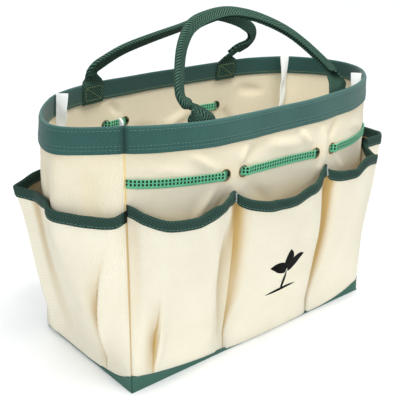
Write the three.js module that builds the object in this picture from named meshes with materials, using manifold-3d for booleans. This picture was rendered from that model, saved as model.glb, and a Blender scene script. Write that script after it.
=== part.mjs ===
// A canvas garden tool bag: an open-topped tote with a bound rim, eight outside pockets,
// two elastic tool loops threaded through eyelets, and two webbing carrying handles.
// Millimetres, +Z up. The origin is the centre of the underside, +X runs along the front
// from its left corner to its right corner, and the front faces -Y.
import * as THREE from "three";
import { mergeVertices } from "three/addons/utils/BufferGeometryUtils.js";
import Module from "manifold-3d";

// ---- Driving dimensions -------------------------------------------------------------

// The canvas body, measured on the walls' outer faces between the corner seams.
const RIM_HEIGHT = 240;
const BASE_LENGTH = 303;
const BASE_WIDTH = 138;
const RIM_LENGTH = 297;
const RIM_WIDTH = 108;
const RIM_SAG = 1.5; // how far the middle of a wall's top edge droops

// How each wall bellies out: how far at most, the height where it has swelled fully, where
// its furthest point lies along it from -1 to 1, and how full its curve in plan is on each
// side of that point, as an exponent: 1 is a sharp point, 2 a parabola and 4 nearly flat.
const LONG_BELLY = { bow: 28, height: 200, tip: 0, curves: [3.8, 3.8] };
const LEFT_BELLY = { bow: 44, height: 200, tip: 0.25, curves: [1.8, 2] };
const RIGHT_BELLY = { bow: 42, height: 185, tip: 0, curves: [2, 2] };
const BELLY_FOOT = 20; // the walls stand up straight to here

// Cloth and seams.
const CANVAS = 1.2;
const BINDING = 1;
const WEBBING = 1.8;
const GAP = 0.3; // left between cloths that are sewn face to face
const FOOT_GAP = 0.8; // left between the walls and what is sewn round their foot
const FLAP_GAP = 0.8; // left on each side of a pocket's edge inside its binding
const SEAM_GAP = 0.2; // left on each side of a corner seam or pocket divider

// Base.
const LIP_CORNER = 17; // height of the base cloth's lip at the corners
const LONG_LIP_MIDDLE = 7;
const LONG_LIP_CURVE = 2.2;
const END_LIP_MIDDLE = 5;
const END_LIP_CURVE = 4;
const BOARD_LENGTH = 294;
const BOARD_WIDTH = 128;
const BOARD_THICKNESS = 2;
const BOARD_CORNER = 6;

// Rim band, folded over the walls' top edge.
const BAND_OUTSIDE = 22.5;
const BAND_INSIDE = 19;

// Pockets.
const DIVIDER_X = 57; // the two sewn lines that part three pockets on a long side
const POCKET_TOP = 174; // top edge at a seam or divider, before its binding
const POCKET_STAND_OFF = 1.7; // extra room behind the top edge for the folded binding
const POCKET_SWELL = 0.7; // exponent: how soon above its foot a pocket swells
const POCKET_ROWS = [0, 0.1, 0.3, 0.6, 0.95, 1]; // heights, as shares of the pocket
const BINDING_ROW = 0.95; // where the binding's outer flap ends
const BINDING_INNER_ROW = 0.96;

// Elastic tool loops.
const ELASTIC_HEIGHTS = { front: 188.7, back: 191.5 }; // at the middle of each long side
const ELASTIC_SLOPE = -0.025; // both run down towards the bag's right-hand end
const ELASTIC_WIDTH = 7.6;
const ELASTIC_THICKNESS = 1.8;
const ELASTIC_STAND_OFF = 2.8; // the elastic's middle line from the wall's outer face
const ELASTIC_BEND = 3;
const ELASTIC_BEND_STEPS = 3;
const EYELET_PLACES = { front: [-66, -46, 46, 70], back: [-70, -42, 51, 75] };

// Eyelets: a tube through the wall with a rolled flange on each side.
const EYELET_HOLE_RADIUS = 4.25;
const EYELET_TUBE_RADIUS = 4.6;
const EYELET_FLANGE_RADIUS = 6;
const EYELET_FLANGE = 0.7;
const EYELET_SIDES = 12;

// Seam tapes, standing inwards from the corner seams.
const TAPE_WIDTH = 10;
const TAPE_THICKNESS = 1.6;
const TAPE_BOTTOM = 8;
const TAPE_TOP = 242;

// Handles.
const TAB_WIDTH = 25;
const GRIP_WIDTH = 12.5;
const GRIP_THICKNESS = 5;
const FLAT_LENGTH = 3; // flat webbing above the rim before it starts to fold
const FOLD_LENGTH = 16; // where the webbing is fully folded
const HANDLE_ROOT_HEIGHT = 241.8;
const HANDLE_STEPS = 36;

// Each handle lies in a plane that leans over the bag. Its path is given in that plane:
// x along the bag, and the distance up the plane from the rim.
const HANDLES = {
  front: {
    turn: 0,
    lean: 42,
    path: [
      [-85, 0], [-88, 6], [-94, 12], [-97, 19], [-94, 29], [-87, 42], [-77, 58],
      [-67, 70], [-54, 81], [-34, 88], [-6, 91], [18, 86], [37, 77], [55, 64],
      [68, 49], [78, 33], [85, 19], [86, 9], [84, 0],
    ],
  },
  back: {
    turn: 2,
    lean: 20,
    path: [
      [-77, 0], [-80, 6], [-90, 11], [-100, 15], [-104, 22], [-100, 31], [-88, 39],
      [-70, 47], [-40, 54], [-15, 50], [3, 45], [34, 39], [69, 32], [88, 24],
      [98, 14], [98, 7], [94, 0],
    ],
  },
};

// ---- The shape of the walls ---------------------------------------------------------

const UP = new THREE.Vector3(0, 0, 1);
const QUARTER_TURN = Math.PI / 2;
const { lerp, degToRad } = THREE.MathUtils;

// Every cloth that lies on a wall bends at these shares of its width and these heights,
// so that cloths sewn face to face stay parallel.
const LONG_STATIONS = [-1, -0.9, -0.75, -0.56, -0.38, -0.19, 0, 0.19, 0.38, 0.56, 0.75, 0.9, 1];
const END_STATIONS = [-1, -0.8, -0.6, -0.4, -0.2, 0, 0.25, 0.45, 0.65, 0.83, 1];
const BAND_LEVELS = [RIM_HEIGHT - BAND_OUTSIDE, RIM_HEIGHT - BAND_INSIDE];
const LEVELS = [0, BELLY_FOOT, 60, 110, 165, ...BAND_LEVELS, RIM_HEIGHT];

const LONG_WALL = {
  halfBase: BASE_LENGTH / 2,
  halfRim: RIM_LENGTH / 2,
  depthBase: BASE_WIDTH / 2,
  depthRim: RIM_WIDTH / 2,
  belly: LONG_BELLY,
  lipMiddle: LONG_LIP_MIDDLE,
  lipCurve: LONG_LIP_CURVE,
  stations: LONG_STATIONS,
};
const END_WALL = {
  halfBase: BASE_WIDTH / 2,
  halfRim: RIM_WIDTH / 2,
  depthBase: BASE_LENGTH / 2,
  depthRim: RIM_LENGTH / 2,
  lipMiddle: END_LIP_MIDDLE,
  lipCurve: END_LIP_CURVE,
  stations: END_STATIONS,
};
// Walls in turn round the bag: each is the front wall's frame after that many quarter turns.
const WALLS = {
  front: { ...LONG_WALL, turn: 0 },
  right: { ...END_WALL, belly: RIGHT_BELLY, turn: 1 },
  back: { ...LONG_WALL, turn: 2 },
  left: { ...END_WALL, belly: LEFT_BELLY, turn: 3 },
};
const WALL_ORDER = ["front", "right", "back", "left"];

// A vector from its parts along a wall and outwards from it.
function wallVector(wall, along, outward, z) {
  return new THREE.Vector3(along, -outward, z).applyAxisAngle(UP, wall.turn * QUARTER_TURN);
}

function halfWidthAt(wall, z) {
  return lerp(wall.halfBase, wall.halfRim, z / RIM_HEIGHT);
}

// How far the wall bellies out at a height, in straight steps between levels.
function bowAt(wall, z) {
  const { bow, height } = wall.belly;
  const swell = (level) => Math.max(0, level - BELLY_FOOT) / (height - BELLY_FOOT);
  const fullness = (level) => Math.sin(swell(level) * QUARTER_TURN);
  const above = Math.max(1, LEVELS.findIndex((level) => level >= z));
  const [low, high] = [LEVELS[above - 1], LEVELS[above]];
  return bow * lerp(fullness(low), fullness(high), (z - low) / (high - low));
}

// The belly's share at a place along the wall, from -1 to 1: 1 at its tip and 0 at the seams.
function bellyShare(wall, place) {
  const { tip, curves } = wall.belly;
  const [reach, curve] = place < tip ? [1 + tip, curves[0]] : [1 - tip, curves[1]];
  return 1 - Math.abs((place - tip) / reach) ** curve;
}

// The wall's outward normal at a station, level with the ground.
function wallNormal(wall, place, z) {
  const step = 0.01;
  const from = Math.max(-1, place - step);
  const to = Math.min(1, place + step);
  const rise = bowAt(wall, z) * (bellyShare(wall, to) - bellyShare(wall, from));
  const run = halfWidthAt(wall, z) * (to - from);
  return wallVector(wall, -rise, run, 0).normalize();
}

// The vector that moves a point on two adjoining faces out by 1 from both of them.
function mitre(normalA, normalB) {
  return normalA.clone().add(normalB).divideScalar(1 + normalA.dot(normalB));
}

function cornerNormal(wall, end, z) {
  const neighbour = WALLS[WALL_ORDER[(wall.turn + (end > 0 ? 1 : 3)) % 4]];
  return mitre(wallNormal(wall, end, z), wallNormal(neighbour, -end, z));
}

function stationPoint(wall, place, z, offset) {
  const along = place * halfWidthAt(wall, z);
  const depth = lerp(wall.depthBase, wall.depthRim, z / RIM_HEIGHT);
  const outward = depth + bowAt(wall, z) * bellyShare(wall, place);
  const sag = RIM_SAG * (1 - place * place) * (z / RIM_HEIGHT) ** 2;
  const isSeam = Math.abs(place) === 1;
  const normal = isSeam ? cornerNormal(wall, place, z) : wallNormal(wall, place, z);
  return wallVector(wall, along, outward, z - sag).addScaledVector(normal, offset);
}

// The stations on each side of a place along a wall, and its share of the way between them.
function stationsAround(wall, place) {
  const { stations } = wall;
  const found = stations.findIndex((station) => station >= place);
  const above = found < 0 ? stations.length - 1 : Math.max(1, found);
  const [left, right] = [stations[above - 1], stations[above]];
  return [left, right, (place - left) / (right - left)];
}

// A point offset outwards from a wall's outer face, at a place from -1 to 1 along it.
function wallPoint(wall, place, z, offset) {
  const [left, right, share] = stationsAround(wall, place);
  return stationPoint(wall, left, z, offset).lerp(stationPoint(wall, right, z, offset), share);
}

// The places where a cloth between two places on a wall has to bend.
function placesBetween(wall, from, to) {
  const margin = 0.012;
  const inside = wall.stations.filter((place) => place > from + margin && place < to - margin);
  return [from, ...inside, to];
}

function seamPlaces(wall, z) {
  const end = 1 - SEAM_GAP / halfWidthAt(wall, z);
  return placesBetween(wall, -end, end);
}

// ---- Solids -------------------------------------------------------------------------

const wasm = await Module();
wasm.setup();

const material = (color, roughness, metalness = 0) =>
  new THREE.MeshStandardMaterial({ color, roughness, metalness });
const CREAM = material(0xeee6cf, 0.9);
const GREEN = material(0x2f5a50, 0.85);
const DARK_GREEN = material(0x2b4a40, 0.85);
const ELASTIC_GREEN = material(0x4fc48d, 0.7);
const TAPE_WHITE = material(0xe9ecea, 0.7);
const BOARD_GREY = material(0x777a74, 0.8);
const AGED_BRASS = material(0x6f6250, 0.4, 0.9);

const bag = new THREE.Group();

function addMesh(name, geometry, finish) {
  const mesh = new THREE.Mesh(geometry, finish);
  mesh.name = name;
  bag.add(mesh);
  return mesh;
}

// A box divided into steps, each of whose corners goes where place(i, j, k) says.
// i counts along the cloth, j up it and k out through its thickness.
function bentBox(stepsI, stepsJ, stepsK, place) {
  const box = new THREE.BoxGeometry(1, 1, 1, stepsI, stepsJ, stepsK);
  const { position } = box.attributes;
  for (let v = 0; v < position.count; v++) {
    const i = Math.round((position.getX(v) + 0.5) * stepsI);
    const j = Math.round((position.getY(v) + 0.5) * stepsJ);
    const k = Math.round((position.getZ(v) + 0.5) * stepsK);
    const point = place(i, j, k);
    position.setXYZ(v, point.x, point.y, point.z);
  }
  splitAlike(box);
  box.computeVertexNormals();
  return box;
}

// Splits the squares of a box's back along the same diagonals as those of its front, so
// that a bent sheet keeps one thickness.
function splitAlike(box) {
  const corners = box.index.array;
  const { start, count } = box.groups[5];
  for (let n = start; n < start + count; n += 6) {
    const [a, b, d, , c] = corners.slice(n, n + 6);
    corners.set([a, b, c, a, c, d], n);
  }
}

function toSolid(geometry) {
  const bare = new THREE.BufferGeometry();
  bare.setAttribute("position", geometry.toNonIndexed().getAttribute("position"));
  const merged = mergeVertices(bare, 1e-3);
  const vertProperties = new Float32Array(merged.attributes.position.array);
  const triVerts = new Uint32Array(merged.index.array);
  return new wasm.Manifold(new wasm.Mesh({ numProp: 3, vertProperties, triVerts }));
}

function toGeometry(solid) {
  const mesh = solid.getMesh();
  const geometry = new THREE.BufferGeometry();
  geometry.setAttribute("position", new THREE.BufferAttribute(mesh.vertProperties, 3));
  geometry.setIndex(new THREE.BufferAttribute(mesh.triVerts, 1));
  geometry.computeVertexNormals();
  return geometry;
}

// ---- Base ---------------------------------------------------------------------------

// The height of the base cloth's lip, in straight lines between a wall's stations.
function lipHeight(wall, place) {
  const height = (share) => lerp(wall.lipMiddle, LIP_CORNER, Math.abs(share) ** wall.lipCurve);
  const [left, right, share] = stationsAround(wall, place);
  return lerp(height(left), height(right), share);
}

// The base cloth: a flat bottom with a lip sewn up round the foot of the walls.
function baseTray() {
  const outer = FOOT_GAP + CANVAS;
  const length = BASE_LENGTH + 2 * outer;
  const width = BASE_WIDTH + 2 * outer;
  const bottom = new THREE.BoxGeometry(length, width, CANVAS);
  bottom.translate(0, 0, CANVAS / 2);
  let tray = toSolid(bottom);
  for (const wall of Object.values(WALLS)) {
    const places = placesBetween(wall, -1.001, 1.001);
    const lip = bentBox(places.length - 1, 1, 1, (i, j, k) => {
      const height = j * lipHeight(wall, places[i]);
      return wallPoint(wall, places[i], height, k ? outer : FOOT_GAP);
    });
    tray = tray.add(toSolid(lip));
  }
  addMesh("base_tray", toGeometry(tray), GREEN);
}

// The stiffener board that lies loose on the bottom cloth.
function baseBoard() {
  const x = BOARD_LENGTH / 2 - BOARD_CORNER;
  const y = BOARD_WIDTH / 2 - BOARD_CORNER;
  const outline = new THREE.Shape();
  outline.absarc(x, y, BOARD_CORNER, 0, QUARTER_TURN);
  outline.absarc(-x, y, BOARD_CORNER, QUARTER_TURN, 2 * QUARTER_TURN);
  outline.absarc(-x, -y, BOARD_CORNER, 2 * QUARTER_TURN, 3 * QUARTER_TURN);
  outline.absarc(x, -y, BOARD_CORNER, 3 * QUARTER_TURN, 4 * QUARTER_TURN);
  const options = { depth: BOARD_THICKNESS, bevelEnabled: false, curveSegments: 3 };
  const board = new THREE.ExtrudeGeometry(outline, options);
  addMesh("base_board", board, BOARD_GREY).position.z = CANVAS + GAP;
}

// ---- Walls and rim ------------------------------------------------------------------

// The place on a wall, and the frame there, of a point given by its distance along it.
function wallFrame(wall, along, z, offset) {
  const place = along / halfWidthAt(wall, z);
  const step = 0.5;
  const across = wallPoint(wall, place + step / halfWidthAt(wall, z), z, offset);
  const up = wallPoint(wall, place, z + step, offset);
  const origin = wallPoint(wall, place, z, offset);
  const normal = across.sub(origin).cross(up.sub(origin)).normalize();
  return { origin, normal };
}

// Turns and moves a geometry whose axis is +Y onto a wall, its axis along the wall's normal.
function seatOnWall(geometry, wall, along) {
  const { origin, normal } = wallFrame(wall, along, elasticHeight(wall, along), -CANVAS / 2);
  const turn = new THREE.Quaternion().setFromUnitVectors(new THREE.Vector3(0, 1, 0), normal);
  geometry.applyQuaternion(turn);
  geometry.translate(origin.x, origin.y, origin.z);
  return geometry;
}

// The height of the elastic's middle line at a distance along a long wall.
function elasticHeight(wall, along) {
  const slope = wall.turn ? -ELASTIC_SLOPE : ELASTIC_SLOPE;
  return ELASTIC_HEIGHTS[WALL_ORDER[wall.turn]] + slope * along;
}

// A canvas wall, from the base cloth up into the fold of the rim band.
function wallPanel(side) {
  const wall = WALLS[side];
  const foot = CANVAS + GAP;
  const top = RIM_HEIGHT - BINDING - GAP;
  const heights = [foot, ...LEVELS.slice(1, -1), top];
  const columns = seamPlaces(wall, RIM_HEIGHT);
  const cloth = bentBox(columns.length - 1, heights.length - 1, 1, (i, j, k) =>
    wallPoint(wall, columns[i], heights[j], k ? 0 : -CANVAS),
  );
  let panel = toSolid(cloth);
  for (const along of EYELET_PLACES[side] ?? []) {
    const radius = EYELET_TUBE_RADIUS + GAP;
    const hole = new THREE.CylinderGeometry(radius, radius, 8 * CANVAS, EYELET_SIDES);
    panel = panel.subtract(toSolid(seatOnWall(hole, wall, along)));
  }
  addMesh(`${side}_panel`, toGeometry(panel), CREAM);
}

// The rim band: cloth folded over the top edge, with a flap sewn down on each side.
function rimBand(side) {
  const wall = WALLS[side];
  const columns = seamPlaces(wall, RIM_HEIGHT);
  const outside = (k) => GAP + k * BINDING;
  const inside = (k) => -CANVAS - GAP - k * BINDING;
  const crest = (k) => RIM_HEIGHT - BINDING + k * BINDING;
  const fold = [
    (k) => [RIM_HEIGHT - BAND_OUTSIDE, outside(k)],
    (k) => [RIM_HEIGHT - BAND_INSIDE, outside(k)],
    (k) => [crest(k), outside(k)],
    (k) => [crest(k), inside(k)],
    (k) => [RIM_HEIGHT - BAND_INSIDE, inside(k)],
  ];
  const band = bentBox(columns.length - 1, fold.length - 1, 1, (i, j, k) => {
    const [z, offset] = fold[j](k);
    return wallPoint(wall, columns[i], z, offset);
  });
  addMesh(`rim_band_${side}`, band, GREEN);
}

// The white tape that binds a corner seam inside the bag, standing in from the corner.
function seamTape(name, wall) {
  const heights = [TAPE_BOTTOM, ...LEVELS.slice(1, -1), TAPE_TOP];
  const outerEdge = -CANVAS - BINDING - 3 * GAP;
  const tape = bentBox(1, heights.length - 1, 1, (i, j, k) => {
    const z = Math.min(heights[j], RIM_HEIGHT);
    const inward = cornerNormal(wall, 1, z).normalize();
    const sideways = UP.clone().cross(inward);
    const point = stationPoint(wall, 1, z, outerEdge);
    point.addScaledVector(inward, (k - 1) * TAPE_WIDTH);
    point.addScaledVector(sideways, (i - 0.5) * TAPE_THICKNESS);
    point.z = heights[j];
    return point;
  });
  addMesh(name, tape, TAPE_WHITE);
}

// ---- Pockets ------------------------------------------------------------------------

// Columns of a pocket across its width: its share of the width at the top and at the foot,
// how far it bellies out from the wall at the top, and how far its top edge scoops down.
const LONG_POCKET_COLUMNS = [
  { top: 0, foot: 0, bulge: 0, scoop: 0 },
  { top: 0.03, foot: 0.04, bulge: 3, scoop: 3 },
  { top: 0.12, foot: 0.15, bulge: 11, scoop: 9 },
  { top: 0.3, foot: 0.32, bulge: 18, scoop: 13 },
  { top: 0.5, foot: 0.5, bulge: 20, scoop: 14 },
  { top: 0.7, foot: 0.68, bulge: 18, scoop: 13 },
  { top: 0.88, foot: 0.85, bulge: 11, scoop: 10 },
  { top: 0.97, foot: 0.96, bulge: 3, scoop: 4 },
  { top: 1, foot: 1, bulge: 0, scoop: 0 },
];
// An end pocket folds out to a corner near one seam and lies close to the wall along the
// rest of its width.
const LEFT_END_POCKET_COLUMNS = [
  { top: 0, foot: 0, bulge: 0, scoop: 2 },
  { top: 0.03, foot: 0.012, bulge: 4, scoop: 3 },
  { top: 0.085, foot: 0.03, bulge: 11, scoop: 4 },
  { top: 0.16, foot: 0.055, bulge: 17, scoop: 6 },
  { top: 0.225, foot: 0.09, bulge: 21, scoop: 7 },
  { top: 0.27, foot: 0.18, bulge: 11, scoop: 7 },
  { top: 0.33, foot: 0.28, bulge: 4, scoop: 6 },
  { top: 0.46, foot: 0.44, bulge: 1, scoop: 3 },
  { top: 0.62, foot: 0.6, bulge: 1, scoop: 2 },
  { top: 0.76, foot: 0.76, bulge: 4, scoop: 4 },
  { top: 0.87, foot: 0.87, bulge: 5, scoop: 7 },
  { top: 0.95, foot: 0.95, bulge: 3, scoop: 9 },
  { top: 1, foot: 1, bulge: 0, scoop: 5 },
];
const RIGHT_END_POCKET_COLUMNS = [
  { top: 0, foot: 0, bulge: 0, scoop: 2 },
  { top: 0.035, foot: 0.012, bulge: 4, scoop: 2 },
  { top: 0.085, foot: 0.03, bulge: 11, scoop: 2 },
  { top: 0.14, foot: 0.055, bulge: 17, scoop: 3 },
  { top: 0.185, foot: 0.09, bulge: 17, scoop: 3 },
  { top: 0.225, foot: 0.17, bulge: 11, scoop: 3 },
  { top: 0.3, foot: 0.28, bulge: 4, scoop: 3 },
  { top: 0.5, foot: 0.5, bulge: 2, scoop: 3 },
  { top: 0.7, foot: 0.7, bulge: 3, scoop: 4 },
  { top: 0.86, foot: 0.86, bulge: 5, scoop: 6 },
  { top: 0.95, foot: 0.95, bulge: 3, scoop: 6 },
  { top: 1, foot: 1, bulge: 0, scoop: 3 },
];

// The middle of a pocket's cloth at a column, a share of the way up it.
function pocketMiddle(pocket, column, share) {
  const { wall, from, to } = pocket;
  const place = lerp(from, to, lerp(column.foot, column.top, share));
  const foot = lipHeight(wall, place) + GAP;
  const z = lerp(foot, POCKET_TOP - column.scoop, share);
  const bulge = column.bulge * share ** POCKET_SWELL;
  const standOff = FOOT_GAP + CANVAS / 2 + POCKET_STAND_OFF * share + bulge;
  return (extra) => wallPoint(wall, place, z, standOff + extra);
}

// A point on a pocket, offset outwards from the middle of its cloth.
function pocketPoint(pocket, index, share, offset) {
  const { columns } = pocket;
  const middle = pocketMiddle(pocket, columns[index], share);
  const point = middle(0);
  if (index === 0 || index === columns.length - 1) {
    return point.addScaledVector(middle(1).sub(middle(0)), offset);
  }
  const facing = (a, b) => b.sub(a).cross(UP).normalize();
  const before = pocketMiddle(pocket, columns[index - 1], share)(0);
  const after = pocketMiddle(pocket, columns[index + 1], share)(0);
  const normal = mitre(facing(before, point.clone()), facing(point.clone(), after));
  return point.addScaledVector(normal, offset);
}

function pocket(name, side, fromX, toX, columns) {
  const wall = WALLS[side];
  const half = halfWidthAt(wall, POCKET_TOP);
  const shape = { wall, columns, from: (fromX + SEAM_GAP) / half, to: (toX - SEAM_GAP) / half };
  const rows = POCKET_ROWS;
  const cloth = bentBox(columns.length - 1, rows.length - 1, 1, (i, j, k) =>
    pocketPoint(shape, i, rows[j], (k - 0.5) * CANVAS),
  );
  addMesh(name, cloth, CREAM);
  const face = (k) => CANVAS / 2 + FLAP_GAP + k * BINDING;
  const crest = (k) => FLAP_GAP + k * BINDING;
  const fold = [
    (k) => [BINDING_ROW, face(k), 0],
    (k) => [1, face(k), crest(k)],
    (k) => [1, -face(k), crest(k)],
    (k) => [BINDING_INNER_ROW, -face(k), 0],
  ];
  const binding = bentBox(columns.length - 1, fold.length - 1, 1, (i, j, k) => {
    const [share, offset, rise] = fold[j](k);
    const point = pocketPoint(shape, i, share, offset);
    point.z += rise;
    return point;
  });
  addMesh(`${name}_binding`, binding, DARK_GREEN);
}

// ---- Elastic and eyelets ------------------------------------------------------------

function eyelet(name, wall, along) {
  const seat = CANVAS / 2 + GAP;
  const face = seat + EYELET_FLANGE;
  const profile = [
    [EYELET_HOLE_RADIUS, -face],
    [EYELET_FLANGE_RADIUS, -face],
    [EYELET_FLANGE_RADIUS, -seat],
    [EYELET_TUBE_RADIUS, -seat],
    [EYELET_TUBE_RADIUS, seat],
    [EYELET_FLANGE_RADIUS, seat],
    [EYELET_FLANGE_RADIUS, face],
    [EYELET_HOLE_RADIUS, face],
    [EYELET_HOLE_RADIUS, -face],
  ].map(([radius, height]) => new THREE.Vector2(radius, height));
  const ring = new THREE.LatheGeometry(profile, EYELET_SIDES);
  addMesh(name, seatOnWall(ring, wall, along), AGED_BRASS);
}

// The elastic's middle line as distances along and outwards from a long wall: outside from
// the corner seam to the first eyelet, inside to the next, and so on to the other seam.
function elasticPath(wall, eyelets) {
  const half = halfWidthAt(wall, elasticHeight(wall, 0));
  const seam = half - 3 * SEAM_GAP;
  const outside = ELASTIC_STAND_OFF;
  const inside = -CANVAS - ELASTIC_STAND_OFF;
  const atSeam = GAP + ELASTIC_THICKNESS / 2;
  const bends = [];
  eyelets.forEach((centre, n) => {
    const [start, finish] = n % 2 ? [inside, outside] : [outside, inside];
    const towards = Math.sign(finish - start);
    for (let step = 0; step <= ELASTIC_BEND_STEPS; step++) {
      const angle = (step / ELASTIC_BEND_STEPS) * QUARTER_TURN;
      const along = centre - ELASTIC_BEND * (1 - Math.sin(angle));
      bends.push([along, start + towards * ELASTIC_BEND * (1 - Math.cos(angle))]);
    }
    for (let step = 0; step <= ELASTIC_BEND_STEPS; step++) {
      const angle = (step / ELASTIC_BEND_STEPS) * QUARTER_TURN;
      const along = centre + ELASTIC_BEND * (1 - Math.cos(angle));
      bends.push([along, finish - towards * ELASTIC_BEND * (1 - Math.sin(angle))]);
    }
  });
  const level = (along) => {
    const passed = eyelets.filter((centre) => centre < along).length;
    return passed % 2 ? inside : outside;
  };
  const clear = (along) => eyelets.every((c) => Math.abs(c - along) > 2 * ELASTIC_BEND);
  const between = wall.stations
    .slice(1, -1)
    .map((station) => station * half)
    .filter(clear)
    .map((along) => [along, level(along)]);
  const ends = [-seam, seam].map((along) => [along, atSeam]);
  return [...ends, ...bends, ...between].sort((a, b) => a[0] - b[0]);
}

function elastic(side) {
  const wall = WALLS[side];
  const path = elasticPath(wall, EYELET_PLACES[side]);
  const pathPoint = ([along, offset], rise) => {
    const z = elasticHeight(wall, along) + rise;
    return wallPoint(wall, along / halfWidthAt(wall, z), z, offset);
  };
  const flat = path.map((step) => pathPoint(step, 0));
  const facing = (a, b) => b.clone().sub(a).setZ(0).normalize().cross(UP);
  const normals = flat.map((point, n) => {
    const before = facing(flat[Math.max(0, n - 1)], flat[Math.max(1, n)]);
    const after = facing(flat[Math.min(flat.length - 2, n)], flat[Math.min(flat.length - 1, n + 1)]);
    return mitre(before, after);
  });
  const strap = bentBox(flat.length - 1, 1, 1, (i, j, k) => {
    const point = pathPoint(path[i], (j - 0.5) * ELASTIC_WIDTH);
    return point.addScaledVector(normals[i], (k - 0.5) * ELASTIC_THICKNESS);
  });
  addMesh(`elastic_${side}`, strap, ELASTIC_GREEN);
}

// ---- Handles ------------------------------------------------------------------------

const tabOffset = -CANVAS - 2 * GAP - BINDING;

// The flat end of a handle, sewn inside the rim band.
function handleTab(name, wall, along) {
  const half = halfWidthAt(wall, RIM_HEIGHT);
  const reach = TAB_WIDTH / 2;
  const columns = placesBetween(wall, (along - reach) / half, (along + reach) / half);
  const tab = bentBox(columns.length - 1, 1, 1, (i, j, k) => {
    const z = j ? RIM_HEIGHT : RIM_HEIGHT - BAND_INSIDE - 1;
    return wallPoint(wall, columns[i], z, tabOffset - (1 - k) * WEBBING);
  });
  addMesh(name, tab, DARK_GREEN);
}

// The free loop of a handle. Flat webbing at its ends, folded in two lengthwise to grip.
function handleLoop(name, handle) {
  const { smoothstep } = THREE.MathUtils;
  const curve = new THREE.CatmullRomCurve3(handle.path.map(([x, r]) => new THREE.Vector3(x, r, 0)));
  const length = curve.getLength();
  const centre = curve.getSpacedPoints(HANDLE_STEPS);
  const across = centre.map((_, n) => {
    const tangent = curve.getTangentAt(n / HANDLE_STEPS);
    const isEnd = n === 0 || n === HANDLE_STEPS;
    return isEnd ? new THREE.Vector3(n ? -1 : 1, 0, 0) : new THREE.Vector3(tangent.y, -tangent.x, 0);
  });
  const wall = WALLS[WALL_ORDER[handle.turn]];
  const rootPlace = handle.path[0][0] / halfWidthAt(wall, RIM_HEIGHT);
  const root = stationPoint(wall, rootPlace, RIM_HEIGHT, tabOffset - WEBBING / 2);
  const lean = new THREE.Matrix4().makeRotationX(degToRad(90 - handle.lean));
  const turn = new THREE.Matrix4().makeRotationZ(handle.turn * QUARTER_TURN);
  const loop = bentBox(2, HANDLE_STEPS, 1, (i, j, k) => {
    const fromEnd = Math.min(j, HANDLE_STEPS - j) * (length / HANDLE_STEPS);
    const folded = smoothstep(fromEnd, FLAT_LENGTH, FOLD_LENGTH);
    const width = lerp(TAB_WIDTH, GRIP_WIDTH, folded);
    const thickness = lerp(WEBBING, GRIP_THICKNESS, folded);
    const point = centre[j].clone().addScaledVector(across[j], (i / 2 - 0.5) * width);
    point.z = (k - 0.5) * thickness;
    return point;
  });
  loop.applyMatrix4(lean);
  loop.translate(0, -Math.abs(root.y), HANDLE_ROOT_HEIGHT);
  loop.applyMatrix4(turn);
  addMesh(name, loop, DARK_GREEN);
}

// ---- The whole bag ------------------------------------------------------------------

baseTray();
baseBoard();
for (const side of WALL_ORDER) {
  wallPanel(side);
  rimBand(side);
}
seamTape("seam_tape_front_right", WALLS.front);
seamTape("seam_tape_back_right", WALLS.right);
seamTape("seam_tape_back_left", WALLS.back);
seamTape("seam_tape_front_left", WALLS.left);

const longSeam = halfWidthAt(LONG_WALL, POCKET_TOP) * (1 - 1e-6);
const endSeam = halfWidthAt(END_WALL, POCKET_TOP) * (1 - 1e-6);
for (const side of ["front", "back"]) {
  const wall = WALLS[side];
  // Left and right are as someone in front of the bag sees them.
  const [first, last] = side === "front" ? ["left", "right"] : ["right", "left"];
  pocket(`${side}_pocket_${first}`, side, -longSeam, -DIVIDER_X, LONG_POCKET_COLUMNS);
  pocket(`${side}_pocket_middle`, side, -DIVIDER_X, DIVIDER_X, LONG_POCKET_COLUMNS);
  pocket(`${side}_pocket_${last}`, side, DIVIDER_X, longSeam, LONG_POCKET_COLUMNS);
  elastic(side);
  EYELET_PLACES[side].forEach((along, n) => eyelet(`eyelet_${side}_${n + 1}`, wall, along));
}
pocket("left_end_pocket", "left", -endSeam, endSeam, LEFT_END_POCKET_COLUMNS);
pocket("right_end_pocket", "right", -endSeam, endSeam, RIGHT_END_POCKET_COLUMNS);

for (const [side, handle] of Object.entries(HANDLES)) {
  const wall = WALLS[side];
  const [first, last] = side === "front" ? ["left", "right"] : ["right", "left"];
  handleTab(`handle_${side}_tab_${first}`, wall, handle.path[0][0]);
  handleTab(`handle_${side}_tab_${last}`, wall, handle.path[handle.path.length - 1][0]);
  handleLoop(`handle_${side}_loop`, handle);
}

export default bag;
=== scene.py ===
"""A canvas garden tool bag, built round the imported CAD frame.

Lengths in this script are millimetres until a mesh is made. +Z is up, +X runs along the
front from its left corner to its right corner, and the front faces -Y.
"""
import math

import bmesh
import bpy
import numpy as np
from mathutils import Matrix, Vector


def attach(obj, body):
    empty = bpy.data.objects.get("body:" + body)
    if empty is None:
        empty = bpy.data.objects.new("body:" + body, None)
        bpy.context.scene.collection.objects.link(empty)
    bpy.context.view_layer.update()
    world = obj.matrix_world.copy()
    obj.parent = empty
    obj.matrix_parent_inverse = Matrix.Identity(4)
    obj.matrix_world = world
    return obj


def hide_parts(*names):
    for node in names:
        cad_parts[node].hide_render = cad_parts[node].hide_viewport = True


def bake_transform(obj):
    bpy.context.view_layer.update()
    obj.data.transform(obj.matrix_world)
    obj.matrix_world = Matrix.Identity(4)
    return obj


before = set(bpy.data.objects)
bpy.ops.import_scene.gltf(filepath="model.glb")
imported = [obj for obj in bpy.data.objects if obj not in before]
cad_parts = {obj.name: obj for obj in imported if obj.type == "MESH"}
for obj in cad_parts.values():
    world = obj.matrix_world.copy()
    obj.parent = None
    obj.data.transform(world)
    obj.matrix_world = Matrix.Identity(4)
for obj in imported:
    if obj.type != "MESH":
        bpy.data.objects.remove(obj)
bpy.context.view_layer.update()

MM = 0.001
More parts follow.
